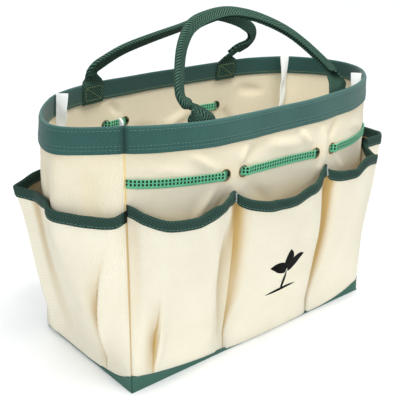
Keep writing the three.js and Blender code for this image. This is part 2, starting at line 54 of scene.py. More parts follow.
PI = math.pi


# ---- Camera and light ---------------------------------------------------------------

SENSOR, LENS = 36, 70.415
EYE = (-0.4854, -0.5339, 0.4230)
GAZE = (0.7171, 0.3958, 0.0328)  # azimuth from +Y, elevation and roll, in radians
DAYLIGHT, LAMPLIGHT = (0.93, 0.965, 1.0), (1.0, 0.97, 0.9)
# Wide, even studio lights: name, direction, strength and spread in degrees.
LIGHTS = [
    ("key_light", (-1.5, -0.8, 0.75), 1.16, 18), ("front_light", (0.1, -1.5, 1.0), 0.98, 45),
    ("right_light", (1.7, -0.6, 1.0), 0.3, 50), ("back_light", (0.4, 1.8, 1.4), 0.8, 50),
]
# A soft box over the mouth lights the inside without washing out the walls.
BOX_SIZE, BOX_POWER, BOX_AT, BOX_TILT = (0.42, 0.16), 2.7, (0.0, -0.1, 0.62), 18
SKY = 0.58


def look(azimuth, elevation, roll):
    """A camera's axes, looking at an azimuth from +Y and down by an elevation."""
    ahead = Vector((math.cos(elevation) * math.sin(azimuth),
                    math.cos(elevation) * math.cos(azimuth), -math.sin(elevation)))
    right = Vector((math.cos(azimuth), -math.sin(azimuth), 0))
    up = right.cross(ahead)
    tilted_right = math.cos(roll) * right + math.sin(roll) * up
    tilted_up = -math.sin(roll) * right + math.cos(roll) * up
    return Matrix((tilted_right, tilted_up, -ahead)).transposed().to_4x4()


def place_in_scene(name, data):
    item = bpy.data.objects.new(name, data)
    bpy.context.scene.collection.objects.link(item)
    return item


camera = place_in_scene("camera", bpy.data.cameras.new("camera"))
camera.data.sensor_width, camera.data.lens = SENSOR, LENS
camera.matrix_world = Matrix.Translation(EYE) @ look(*GAZE)
bpy.context.scene.camera = camera
bpy.context.scene.view_settings.view_transform = "Standard"

for name, direction, strength, degrees in LIGHTS:
    light = bpy.data.lights.new(name, "SUN")
    light.energy, light.angle, light.color = strength, math.radians(degrees), DAYLIGHT
    lamp = place_in_scene(name, light)
    lamp.rotation_euler = Vector(direction).to_track_quat("Z", "Y").to_euler()

light = bpy.data.lights.new("soft_box", "AREA")
light.shape, light.size, light.size_y = "RECTANGLE", *BOX_SIZE
light.energy, light.color = BOX_POWER, LAMPLIGHT
lamp = place_in_scene("soft_box", light)
lamp.location, lamp.rotation_euler = BOX_AT, (math.radians(BOX_TILT), 0, 0)

world = bpy.data.worlds.new("studio")
world.use_nodes = True
sky = world.node_tree.nodes["Background"].inputs
sky["Color"].default_value, sky["Strength"].default_value = (*DAYLIGHT, 1), SKY
bpy.context.scene.world = world


# ---- Curves and blends ---------------------------------------------------------------

def lerp(a, b, t):
    return a + (b - a) * t


def ease(x, low, high):
    t = np.clip((np.asarray(x, float) - low) / (high - low), 0, 1)
    return t * t * (3 - 2 * t)


def arrays(*values):
    return np.broadcast_arrays(*(np.asarray(v, float) for v in values))


def pairs(a, b):
    return np.stack(np.broadcast_arrays(a, b), -1)


def unit(vectors):
    return vectors / np.linalg.norm(vectors, axis=-1, keepdims=True)


def smooth_curve(xs, ys, x):
    """A smooth curve through points that makes no new peak between them."""
    xs, ys = np.asarray(xs, float), np.asarray(ys, float)
    width, slope = np.diff(xs), np.diff(ys) / np.diff(xs)
    tangent = np.zeros_like(ys)
    tangent[0], tangent[-1] = slope[0], slope[-1]
    same = slope[:-1] * slope[1:] > 0
    a, b = 2 * width[1:] + width[:-1], width[1:] + 2 * width[:-1]
    with np.errstate(divide="ignore", invalid="ignore"):
        mean = (a + b) / (a / slope[:-1] + b / slope[1:])
    tangent[1:-1] = np.where(same, mean, 0)
    x = np.asarray(x, float)
    n = np.clip(np.searchsorted(xs, x, side="right") - 1, 0, len(xs) - 2)
    h = width[n]
    t = np.clip((x - xs[n]) / h, 0, 1)
    return ((1 + 2 * t) * (1 - t) ** 2 * ys[n] + t * (1 - t) ** 2 * h * tangent[n]
            + t * t * (3 - 2 * t) * ys[n + 1] + t * t * (t - 1) * h * tangent[n + 1])


def through_points(points, count):
    """An evenly spaced centripetal Catmull-Rom curve through points."""
    p = np.asarray(points, float)
    p = np.vstack([2 * p[0] - p[1], p, 2 * p[-1] - p[-2]])
    steps = []
    for n in range(1, len(p) - 2):
        p0, p1, p2, p3 = p[n - 1:n + 3]
        d0, d1, d2 = (np.sqrt(np.linalg.norm(gap)) for gap in (p1 - p0, p2 - p1, p3 - p2))
        t1 = ((p1 - p0) / d0 - (p2 - p0) / (d0 + d1) + (p2 - p1) / d1) * d1
        t2 = ((p2 - p1) / d1 - (p3 - p1) / (d1 + d2) + (p3 - p2) / d2) * d1
        t = np.linspace(0, 1, 24, endpoint=n == len(p) - 3)[:, None]
        steps.append((2 * t ** 3 - 3 * t ** 2 + 1) * p1 + (t ** 3 - 2 * t ** 2 + t) * t1
                     + (3 * t ** 2 - 2 * t ** 3) * p2 + (t ** 3 - t ** 2) * t2)
    return evenly(np.vstack(steps), count)


def lengths_along(line):
    return np.concatenate([[0], np.cumsum(np.linalg.norm(np.diff(line, axis=0), axis=1))])


def along_line(line, reach, at):
    """A line's values at some lengths, given its own length at each point."""
    return np.stack([np.interp(at, reach, line[:, k]) for k in range(line.shape[1])], -1)


def evenly(line, count):
    reach = lengths_along(line)
    return along_line(line, reach, np.linspace(0, reach[-1], count))


# ---- The walls -----------------------------------------------------------------------
# Offsets are outwards from a wall's outer face. Places run from -1 to 1 along a wall.

RIM = 240
CANVAS = 1.2
FOOT = 20
RIM_SAG = 1.5
LIP_CORNER = 17
BASE = (303 / 2, 138 / 2)
MOUTH = (297 / 2, 108 / 2)
CORNER_BLEND = 0.93
RUMPLE, CREASE, SEAM_DRAW = 1.25, 3.0, 0.9
SIDES = ["front", "right", "back", "left"]


class Wall:
    """One wall, turned by quarters from the front. It bows out to its full amount at a
    height, furthest at the tip, on a curve for each side of the tip."""

    def __init__(self, turn, bow, height, tip, curves, lip_middle, lip_curve, folds):
        self.turn, self.bow, self.height, self.tip = turn, bow, height, tip
        self.curves, self.lip_middle, self.lip_curve = curves, lip_middle, lip_curve
        self.folds = folds
        self.is_end = turn % 2

    def half(self, z):
        """Half the wall's length at a height."""
        return lerp(BASE[self.is_end], MOUTH[self.is_end], z / RIM)

    def plan(self, place, z):
        swell = np.clip(z - FOOT, 0, None) / (self.height - FOOT)
        bow = self.bow * np.sin(swell * PI / 2)
        left = place < self.tip
        reach = np.where(left, 1 + self.tip, 1 - self.tip)
        curve = np.where(left, *self.curves)
        share = 1 - np.abs((place - self.tip) / reach) ** curve
        depth = lerp(BASE[1 - self.is_end], MOUTH[1 - self.is_end], z / RIM)
        return place * self.half(z), depth + bow * share

    def facing(self, place, z):
        step = 0.012
        a0, o0 = self.plan(np.clip(place - step, -1, 1), z)
        a1, o1 = self.plan(np.clip(place + step, -1, 1), z)
        run, rise = a1 - a0, o1 - o0
        size = np.hypot(run, rise)
        return -rise / size, run / size

    def outward(self, place, z):
        """The horizontal offset direction, mitred with the next wall at a seam."""
        na, no = self.facing(place, z)
        end = np.where(place > 0, 1.0, -1.0)
        ea, eo = self.facing(end, z)
        right = WALLS[SIDES[(self.turn + 1) % 4]].facing(-np.ones_like(end), z)
        left = WALLS[SIDES[(self.turn + 3) % 4]].facing(np.ones_like(end), z)
        ba = np.where(end > 0, right[1], -left[1])
        bo = np.where(end > 0, -right[0], left[0])
        scale = 1 + ea * ba + eo * bo
        w = ease(np.abs(place), CORNER_BLEND, 1)
        return lerp(na, (ea + ba) / scale, w), lerp(no, (eo + bo) / scale, w)

    def rumple(self, along, z):
        """Soft folds and unevenness of the hanging cloth, none of it at the seams."""
        place = np.clip(along / self.half(z), -1, 1)
        free = (1 - place ** 8) * ease(z, 8, 60)
        wave = (0.45 * np.sin(along / 17 + z / 41 + self.turn)
                + 0.35 * np.sin(along / 29 - z / 23 + 2 * self.turn)
                + 0.22 * np.sin(along / 9.5 + z / 63 + self.turn) * ease(z, 120, 215))
        drawn = SEAM_DRAW * (1 - ease(1 - np.abs(place), 0, 0.02))
        return free * (RUMPLE * wave + CREASE * creases(self.folds, along, z)) - drawn

    def point(self, place, z, offset=0.0):
        place, z, offset = arrays(place, z, offset)
        along, depth = self.plan(place, z)
        na, no = self.outward(place, z)
        reach = offset + self.rumple(along, z)
        along, depth = along + na * reach, depth + no * reach
        height = z - RIM_SAG * (1 - place ** 2) * (z / RIM) ** 2
        c, s = [(1, 0), (0, 1), (-1, 0), (0, -1)][self.turn]
        return np.stack([along * c + depth * s, along * s - depth * c, height], -1)

    def at(self, along, z, offset=0.0):
        return self.point(along / self.half(z), z, offset)

    def frame_at(self, along, z, offset=0.0):
        """A point on the wall with its directions along, up and out."""
        origin = self.at(along, z, offset)
        right = unit(self.at(along + 0.5, z, offset) - self.at(along - 0.5, z, offset))
        up = unit(self.at(along, z + 0.5, offset) - self.at(along, z - 0.5, offset))
        out = unit(np.cross(right, up))
        return origin, right, np.cross(out, right), out

    def lip(self, place):
        curve = np.where(np.asarray(place) < 0, *self.lip_curve)
        return lerp(self.lip_middle, LIP_CORNER, np.abs(place) ** curve)


def creases(table, along, z):
    """Rounded ridges and valleys, from (along, z) to (along, z), with width and height."""
    total = np.zeros(np.broadcast(along, z).shape)
    for x0, z0, x1, z1, width, height in table:
        dx, dz = x1 - x0, z1 - z0
        length = math.hypot(dx, dz)
        t = ((along - x0) * dx + (z - z0) * dz) / length ** 2
        across = ((along - x0) * dz - (z - z0) * dx) / length
        taper = np.sin(np.clip(t, 0, 1) * PI) ** 0.8
        total = total + height * taper * np.exp(-(across / width) ** 2)
    return total


FRONT_FOLDS = [
    (-75, 184, -98, 150, 4.5, 0.9), (-60, 180, -84, 140, 5, -0.8),
    (-72, 194, -100, 214, 5, 0.8), (-50, 196, -40, 214, 4, 0.7),
    (-40, 180, -10, 150, 6, -0.7), (-44, 200, -20, 216, 5, -0.6),
    (40, 196, 24, 214, 4, 0.9), (50, 176, 66, 150, 4, 0.8),
    (66, 198, 80, 216, 4, -0.8), (76, 178, 92, 158, 4.5, 0.7),
    (-140, 205, -90, 196, 5, 0.5), (100, 205, 140, 190, 5, 0.7),
    (-20, 208, 30, 200, 7, 0.8), (56, 214, 58, 170, 5, 1.0),
]
BACK_FOLDS = [
    (-80, 186, -100, 152, 4.5, 0.9), (-62, 184, -50, 150, 5, 0.8),
    (-34, 190, 0, 176, 6, -0.9), (40, 186, 0, 170, 6, 0.7),
    (58, 200, 70, 216, 4, 0.7), (84, 190, 120, 176, 6, -0.8),
    (-130, 200, -96, 206, 6, 0.7), (-20, 150, 60, 142, 7, 0.8),
    (60, 134, 130, 146, 8, -0.8), (-120, 120, -40, 132, 8, 0.7),
]
LEFT_FOLDS = [
    (24, 224, 20, 120, 8, 1.3), (6, 214, 2, 130, 8, -0.9),
    (-34, 210, -28, 140, 8, 0.8), (40, 214, 46, 150, 5, -0.7),
]
RIGHT_FOLDS = [
    (0, 222, 4, 130, 9, 1.0), (24, 214, 28, 140, 8, -0.9),
    (-26, 220, -30, 150, 8, 0.8),
]

# Turn, bow, height, tip, curves, lip height in the middle, its curves, and folds.
WALLS = {
    "front": Wall(0, 28, 200, 0, (3.8, 3.8), 2.6, (2.0, 4.5), FRONT_FOLDS),
    "right": Wall(1, 42, 185, 0, (2, 2), 4, (4, 4), RIGHT_FOLDS),
    "back": Wall(2, 28, 200, 0, (3.8, 3.8), 3.5, (2.6, 2.2), BACK_FOLDS),
    "left": Wall(3, 44, 200, 0.25, (1.8, 2), 4, (4, 4), LEFT_FOLDS),
}


# ---- Meshes --------------------------------------------------------------------------

def add_piece(name, points, faces, uv, finish, slot, body="bag", sharp=40, painted_shade=None):
    """A closed mesh from points in mm, with its cloth coordinates in mm."""
    used = np.unique(np.concatenate([np.asarray(f).ravel() for f in faces]))
    renumber = np.zeros(len(points), int)
    renumber[used] = np.arange(len(used))
    faces = [renumber[np.asarray(f)].tolist() for f in faces]
    flat = [face for group in faces
            for face in (group if isinstance(group[0], list) else [group])]
    mesh = bpy.data.meshes.new(name)
    mesh.from_pydata((points[used] * MM).tolist(), [], flat)
    layer = mesh.uv_layers.new(name="cloth")
    corners = np.empty(len(mesh.loops), int)
    mesh.loops.foreach_get("vertex_index", corners)
    layer.data.foreach_set("uv", np.asarray(uv, float)[used][corners].ravel())
    if painted_shade is not None:
        shade = mesh.attributes.new("painted_shade", "FLOAT", "POINT")
        shade.data.foreach_set("value", np.asarray(painted_shade, np.float32)[used])
    work = bmesh.new()
    work.from_mesh(mesh)
    bmesh.ops.recalc_face_normals(work, faces=work.faces)
    work.to_mesh(mesh)
    work.free()
    mesh.polygons.foreach_set("use_smooth", [True] * len(mesh.polygons))
    mesh.set_sharp_from_angle(angle=math.radians(sharp))
    mesh.materials.append(finish)
    piece = place_in_scene(name, mesh)
    if body:
        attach(piece, body)
    return piece


def grid_faces(rows, columns, keep=None):
    number = np.arange(rows * columns).reshape(rows, columns)
    quads = np.stack([number[:-1, :-1], number[1:, :-1], number[1:, 1:], number[:-1, 1:]], -1)
    quads = quads.reshape(-1, 4)
    return quads if keep is None else quads[keep.reshape(-1)]


def close_sheet(quads, count):
    """The faces of a sheet's two sides and of the edge between them."""
    edges = np.concatenate([quads[:, [k, (k + 1) % 4]] for k in range(4)])
    key = edges[:, 0] * count + edges[:, 1]
    border = edges[~np.isin(edges[:, 1] * count + edges[:, 0], key)]
    rim = np.stack([border[:, 1], border[:, 0], border[:, 0] + count, border[:, 1] + count], -1)
    return [quads, quads[:, ::-1] + count, rim]


def cloth(name, outer, inner, uv, finish, slot, keep=None, painted_shade=None, **options):
    """A thin closed sheet from the grids of points on its two faces."""
    rows, columns = outer.shape[:2]
    count = rows * columns
    if painted_shade is not None:
        painted_shade = np.concatenate([np.broadcast_to(r, (rows, columns)).ravel() for r in painted_shade])
    faces = close_sheet(grid_faces(rows, columns, keep), count)
    points = np.concatenate([outer.reshape(-1, 3), inner.reshape(-1, 3)])
    both = np.concatenate([uv.reshape(-1, 2)] * 2)
    return add_piece(name, points, faces, both, finish, slot, painted_shade=painted_shade, **options)


def tube_faces(rings, around):
    """The faces along a tube, and the face that closes each of its ends."""
    number = np.arange(rings * around).reshape(rings, around)
    ahead = np.roll(number, -1, axis=1)
    quads = np.stack([number[:-1], ahead[:-1], ahead[1:], number[1:]], -1).reshape(-1, 4)
    return quads, number[0][::-1], number[-1]


def tube(name, rings, uv, finish, slot, **options):
    """A closed tube through rings of points, with flat ends."""
    faces = tube_faces(*rings.shape[:2])
    return add_piece(name, rings.reshape(-1, 3), faces, uv.reshape(-1, 2), finish, slot, **options)


# ---- Materials -----------------------------------------------------------------------

class Shader:
    """Builds one node material."""

    def __init__(self, name, **settings):
        self.material = bpy.data.materials.new(name)
        self.material.use_nodes = True
        self.tree = self.material.node_tree
        self.surface = self.tree.nodes["Principled BSDF"]
        for key, value in settings.items():
            self.surface.inputs[key.replace("_", " ")].default_value = value

    def node(self, kind, inputs=(), **settings):
        node = self.tree.nodes.new(kind)
        for key, value in settings.items():
            setattr(node, key, value)
        for key, value in dict(inputs).items():
            self.feed(node.inputs[key], value)
        return node

    def feed(self, socket, value):
        if isinstance(value, bpy.types.NodeSocket):
            self.tree.links.new(value, socket)
        else:
            socket.default_value = value

    def math(self, operation, a, b=0.0, c=0.0):
        return self.node("ShaderNodeMath", {0: a, 1: b, 2: c}, operation=operation).outputs[0]

    def weigh(self, a, share_a, b, share_b):
        return self.math("MULTIPLY_ADD", a, share_a, self.math("MULTIPLY", b, share_b))

    def cloth_axes(self):
        layer = self.node("ShaderNodeUVMap", uv_map="cloth").outputs[0]
        parts = self.node("ShaderNodeSeparateXYZ", {0: layer})
        return parts.outputs[0], parts.outputs[1]

    def noise(self, size_mm, detail=3.0, roughness=0.5, stretch=None):
        where = self.node("ShaderNodeTexCoord").outputs["Object"]
        if stretch:
            where = self.node("ShaderNodeVectorMath", {0: where, 1: stretch},
                              operation="MULTIPLY").outputs[0]
        return self.node("ShaderNodeTexNoise",
                         {"Vector": where, "Scale": 1 / (size_mm * MM), "Detail": detail,
                          "Roughness": roughness}).outputs[0]

    def wave(self, value, pitch):
        return self.math("SINE", self.math("MULTIPLY", value, 2 * PI / pitch))

    def stripes(self, value, pitch):
        """A wave that runs from 0 to 1."""
        return self.math("MULTIPLY_ADD", self.wave(value, pitch), 0.5, 0.5)

    def ramp(self, value, low, high):
        node = self.node("ShaderNodeMapRange", {0: value, 1: low, 2: high},
                         interpolation_type="SMOOTHSTEP")
        return node.outputs[0]

    def mix(self, share, a, b):
        node = self.node("ShaderNodeMix", data_type="RGBA")
        self.feed(node.inputs["Factor"], share)
        for socket, colour in ((node.inputs[6], a), (node.inputs[7], b)):
            self.feed(socket, colour)
        return node.outputs[2]

    def finish(self, colour, roughness, height, distance_mm):
        self.feed(self.surface.inputs["Base Color"], colour)
        self.feed(self.surface.inputs["Roughness"], roughness)
        bump = self.node("ShaderNodeBump", {"Height": height, "Distance": distance_mm * MM,
                                            "Strength": 1.0})
        self.feed(self.surface.inputs["Normal"], bump.outputs[0])
        return self.material


def srgb(text):
    parts = [int(text[k:k + 2], 16) / 255 for k in (0, 2, 4)]
    return (*(p / 12.92 if p <= 0.04045 else ((p + 0.055) / 1.055) ** 2.4 for p in parts), 1.0)


def woven(name, light, dark, pitch, relief, kind, tone, sheen=0.1, base_rough=0.85,
          specular=0.14, deep=None, column=2.5):
    """Woven cloth: threads at a pitch in mm, tone between them, larger mottling, and painted shade
    towards the deep colour where one is given.
    """
    s = Shader(name, Sheen_Weight=sheen, Sheen_Roughness=0.5, Specular_IOR_Level=specular)
    if specular < 0.1:
        s.surface.inputs["Specular Tint"].default_value = (0.6, 0.75, 0.7, 1)
    u, v = s.cloth_axes()
    wobble = s.math("MULTIPLY", s.noise(2.2, 2), pitch * 0.35)
    u, v = s.math("ADD", u, wobble), s.math("ADD", v, wobble)
    if kind == "plain":
        threads = s.math("MULTIPLY", s.wave(u, 2 * pitch), s.wave(v, 2 * pitch))
        over = s.math("MULTIPLY_ADD", threads, 0.5, 0.5)
        height = s.math("ABSOLUTE", threads)
    elif kind == "twill":
        over = s.stripes(s.math("ADD", u, v), 1.6 * pitch)
        height = s.weigh(over, 0.7, s.stripes(u, pitch), 0.3)
    elif kind == "herringbone":
        lean = s.math("MULTIPLY_ADD", s.math("PINGPONG", u, column), 1.15, v)
        over = s.ramp(s.wave(lean, 1.7 * pitch), -0.6, 0.6)
        height = s.weigh(over, 0.75, s.stripes(u, 1.3 * pitch), 0.25)
    else:
        over = s.stripes(u, pitch)
        height = s.weigh(over, 0.7, s.stripes(v, 2 * pitch), 0.3)
    patches, fine = s.ramp(s.noise(38, 3), 0.3, 0.7), s.ramp(s.noise(1.1, 2), 0.25, 0.75)
    mottle = s.weigh(patches, 0.25, fine, 0.25)
    colour = s.mix(s.weigh(s.math("SUBTRACT", 1.0, over), tone, mottle, 1 - tone), light, dark)
    if deep:
        # Painted shade: the mesh says how deep in a fold or a seam each point lies, and the colour
        # darkens that far towards deep.
        painted_shade = s.node("ShaderNodeAttribute", attribute_name="painted_shade").outputs["Fac"]
        colour = s.mix(painted_shade, colour, deep)
    rough = s.math("MULTIPLY_ADD", fine, 0.12, base_rough - 0.06)
    return s.finish(colour, rough, height, relief)


# Each cloth's deep colour is painted shade: its folds, seams, valleys and hollows are darkened
# towards it.
PAINTED_SHADE_GREEN = srgb("0F2623")
canvas = woven("canvas", srgb("F8F3E2"), srgb("D3C7A8"), 0.95, 0.38, "plain", 0.6,
               deep=srgb("C29F5C"))
# The walls get a darker copy of the canvas, painted shade for the lesser light that falls on them,
# with its own painted shade colour.
shaded_wall_canvas = woven("shaded_wall_canvas", srgb("EFEBDC"), srgb("CCC3AA"), 0.95, 0.38, "plain", 0.6,
                    deep=srgb("EACB80"))
rim_cloth = woven("rim_cloth", srgb("355E58"), srgb("12302B"), 1.1, 0.25, "twill", 0.55,
                  sheen=0.15, base_rough=0.72, deep=PAINTED_SHADE_GREEN)
base_cloth = woven("base_cloth", srgb("3E6357"), srgb("2C5246"), 0.7, 0.1, "twill", 0.35,
                   deep=PAINTED_SHADE_GREEN)
tape_cloth = woven("binding_tape", srgb("39544A"), srgb("0A1612"), 1.35, 0.5, "herringbone", 0.7,
                   sheen=0.02, base_rough=0.7, specular=0.06, deep=srgb("070D0B"))
webbing = woven("webbing", srgb("3D594D"), srgb("040A08"), 1.75, 0.7, "herringbone", 0.8,
                sheen=0.0, base_rough=0.62, specular=0.04, column=6.2)
satin = woven("seam_tape", srgb("F4F6F5"), srgb("C9CFCE"), 0.5, 0.05, "rib", 0.4, sheen=0.2,
              base_rough=0.45)


def grained(name, light, dark, noise, edges, rough, depth, bump=None, **settings):
    """A plain material with a grain in its colour, its roughness and its height."""
    s = Shader(name, **settings)
    grain = s.ramp(s.noise(*noise), *edges)
    height = s.noise(*bump) if bump else grain
    colour = s.mix(grain, srgb(light), srgb(dark))
    return s.finish(colour, s.math("MULTIPLY_ADD", grain, *rough), height, depth)


def thread(name, light, dark):
    return grained(name, light, dark, (0.5, 2), (0.3, 0.7), (0.2, 0.5), 0.05, Sheen_Weight=0.2)


cream_thread = thread("cream_thread", "F0E9D2", "D9CFB2")
green_thread = thread("green_thread", "55796F", "385A52")
moss_thread = thread("moss_thread", "6F7F45", "54643A")
grey_thread = thread("grey_thread", "B9C0BE", "8E9693")
brass = grained("eyelet_brass", "8C8069", "4B463C", (2.0, 4, 0.6), (0.35, 0.7), (0.25, 0.28), 0.02,
                bump=(0.6, 2), Metallic=1.0)
ink = grained("print_ink", "070707", "141414", (1.4, 3), (0.62, 0.8), (0.2, 0.5), 0.04,
              bump=(0.7, 2), Specular_IOR_Level=0.02)

DASH_PITCH, DASH_ROW, DASH_HALF_WIDTH = 3.2, 1.5, 1.02


def elastic_material():
    """Ribbed elastic with two rows of black dashes woven in."""
    s = Shader("elastic", Specular_IOR_Level=0.12, Sheen_Weight=0.1)
    u, v = s.cloth_axes()
    dash = s.math("GREATER_THAN", s.wave(u, DASH_PITCH), -0.12)
    row = s.math("SUBTRACT", s.math("ABSOLUTE", s.math("SUBTRACT", v, 1.0)), DASH_ROW)
    band = s.math("LESS_THAN", s.math("ABSOLUTE", row), DASH_HALF_WIDTH)
    rib, weft = s.stripes(v, 0.95), s.stripes(u, 0.8)
    fine = s.ramp(s.noise(1.5, 2), 0.3, 0.7)
    green = s.mix(s.weigh(rib, 0.5, fine, 0.4), srgb("468D68"), srgb("6BBE92"))
    colour = s.mix(s.math("MULTIPLY", dash, band), green, srgb("07100D"))
    rough = s.math("MULTIPLY_ADD", fine, 0.15, 0.6)
    return s.finish(colour, rough, s.weigh(rib, 0.6, weft, 0.4), 0.15)


def board_material():
    s = Shader("board")
    fibre = s.ramp(s.noise(1.2, 4, 0.6, (1, 5, 1)), 0.3, 0.7)
    speck = s.ramp(s.noise(14, 4), 0.35, 0.65)
    colour = s.mix(s.weigh(fibre, 0.6, speck, 0.4), srgb("8B8D86"), srgb("6C6F68"))
    return s.finish(colour, s.math("MULTIPLY_ADD", fibre, 0.15, 0.75), fibre, 0.15)


def floor_material():
    s = Shader("floor_paper")
    colour = s.mix(s.noise(180, 3), (0.965, 0.965, 0.96, 1), (0.985, 0.985, 0.98, 1))
    return s.finish(colour, 0.9, s.noise(3, 2), 0.05)


elastic, board = elastic_material(), board_material()


# ---- Stitches ------------------------------------------------------------------------
# A stitch is a small closed tube. Its rings stand at shares of its length.

STITCH_SHARES = np.array([0, 0.12, 0.5, 0.88, 1])
STITCH_SWELL = np.array([0.25, 0.85, 1, 0.85, 0.25])[:, None, None]
STITCH_SIDES = 5
STITCH_WIDENING = 1.15


def stitch_row(line, out, length, gap, thick):
    """Stitches along a line of points, standing on the directions out."""
    reach = lengths_along(line)
    step = length + gap
    count = max(1, int(reach[-1] / step))
    start = (reach[-1] - count * step) / 2 + gap / 2
    turn = np.arange(STITCH_SIDES) * 2 * PI / STITCH_SIDES
    wide = (np.cos(turn) * thick * STITCH_WIDENING)[None, :, None]
    high = (np.sin(turn) * thick)[None, :, None]
    lift = thick * (0.25 + 0.55 * np.sin(STITCH_SHARES * PI))
    stitched = []
    for n in range(count):
        at = start + n * step + STITCH_SHARES * length
        if at[-1] > reach[-1]:
            break
        mid = along_line(line, reach, at)
        up = unit(along_line(out, reach, at))
        side = unit(np.cross(up, unit(mid[-1] - mid[0])))
        mid = mid + up * lift[:, None]
        rings = (mid[:, None] + side[:, None] * wide * STITCH_SWELL
                 + up[:, None] * high * STITCH_SWELL)
        stitched.append(rings.reshape(-1, 3))
    return stitched


def stitches(name, rows, finish, slot):
    """One piece from rows of stitches."""
    points = [stitch for row in rows for stitch in row]
    quads, *ends = tube_faces(len(STITCH_SHARES), STITCH_SIDES)
    first = (np.arange(len(points)) * len(points[0]))[:, None, None]
    faces = [(quads + first).reshape(-1, 4), (np.stack(ends) + first).reshape(-1, STITCH_SIDES)]
    points = np.concatenate(points)
    add_piece(name, points, faces, points[:, :2], finish, slot, sharp=80)


def line_on(wall, places, z, offset):
    """Points on a wall and the directions out of it there, inwards for a negative offset."""
    points = wall.point(places, z, offset)
    step = np.where(np.asarray(offset) > -CANVAS / 2, 1, -1)
    away = wall.point(places, z, offset + step) - points
    return points, away


# ---- Canvas walls --------------------------------------------------------------------

ELASTIC_HEIGHTS = {"front": 188.7, "back": 191.5}
ELASTIC_SLOPE = {"front": -0.025, "back": 0.025}
EYELETS = {"front": [-66, -46, 46, 70], "back": [-70, -42, 51, 75]}
HOLE = 4.75
SKIN = 0.05  # the gap left where two cloths lie together
WALL_FOOT, WALL_TOP = 1.5, RIM - 1.2
# Painted shade in the walls' colour: a little everywhere, more behind the pockets, under the band
# and on the inside.
PAINTED_WALL_SHADE, PAINTED_POCKET_SHADE, PAINTED_BAND_SHADE, PAINTED_INSIDE_SHADE = 0.16, 0.36, 0.1, 0.2


def elastic_height(side, along):
    return ELASTIC_HEIGHTS[side] + ELASTIC_SLOPE[side] * along


def make_wall(side):
    wall = WALLS[side]
    places = np.linspace(-1, 1, 101 if wall.is_end else 201)
    places[[1, -2]] = np.array([-1, 1]) * (1 - 1.0 / wall.half(0))
    s, z = np.meshgrid(places, np.linspace(WALL_FOOT, WALL_TOP, 141), indexing="ij")
    along = s * wall.half(z)
    eyelets = [(at, elastic_height(side, at)) for at in EYELETS.get(side, ())]
    middle_s, middle_z = ((v[1:, 1:] + v[:-1, :-1]) / 2 for v in (s, z))
    keep = np.ones(middle_s.shape, bool)
    for at, height in eyelets:
        keep &= np.hypot(middle_s * wall.half(middle_z) - at, middle_z - height) > HOLE
    # Painted shade: dark along the corner seams, over the wall, behind the pockets, under the
    # band, in the creases' valleys, round the eyelets' flanges and on the inside face.
    seam = ease(np.abs(along), wall.half(z) - 1.0, wall.half(z) - 0.3)
    wall_shade = (PAINTED_WALL_SHADE + PAINTED_POCKET_SHADE * (1 - ease(z, 140, 178))
            + PAINTED_BAND_SHADE * ease(z, 205, 217))
    dip_shade = np.clip(-0.15 * creases(wall.folds, along, z), 0, 0.2)
    dip_shade = dip_shade + sum(0.3 * np.exp(-(np.hypot(along - at, z - height) - 4.5) ** 2 / 9)
                      for at, height in eyelets)
    painted_shade = np.clip(np.maximum(seam, wall_shade) + dip_shade, 0, 1), np.maximum(0.35 * seam, PAINTED_INSIDE_SHADE)
    panel = cloth(f"canvas_{side}", wall.point(s, z, -SKIN), wall.point(s, z, -CANVAS + SKIN),
                  pairs(along + 500 * wall.turn, z), shaded_wall_canvas, "canvas", keep,
                  painted_shade=painted_shade)
    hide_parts(f"{side}_panel")


for side in SIDES:
    make_wall(side)


# ---- Rim bands -----------------------------------------------------------------------

BAND_OUTSIDE, BAND_INSIDE = 22.5, 19
BAND_CREST = 0.9  # how far the fold's crest lies below the rim line
BAND_MIDDLE, BAND_RADIUS = -0.6, 1.45
TAPE_THICKNESS, HEM_THICKNESS = 0.9, 1.3
FOLD_STEPS, SIDE_STEPS = 9, 12


def fold_over(outside, inside, mid_offset, radius):
    """The middle line of a tape folded over an edge, as (depth below the crest, offset)
    with its normals: up the outside, round the top and down the inside."""
    turn = np.linspace(0, PI, FOLD_STEPS)[1:-1]
    level, flat = np.ones(SIDE_STEPS), np.zeros(SIDE_STEPS)
    depth = np.concatenate([np.linspace(outside, radius, SIDE_STEPS),
                            radius - radius * np.sin(turn),
                            np.linspace(radius, inside, SIDE_STEPS)])
    offset = np.concatenate([radius * level, radius * np.cos(turn), -radius * level])
    n_off = np.concatenate([level, np.cos(turn), -level])
    n_up = np.concatenate([flat, np.sin(turn), flat])
    return depth, offset + mid_offset, n_up, n_off


def flutter(wall, s):
    """How far a band's loose edge stands in or out along the wall."""
    return 0.35 * np.sin(s * wall.half(RIM) / 7.3 + 1.7 * wall.turn) * (1 - s ** 6)


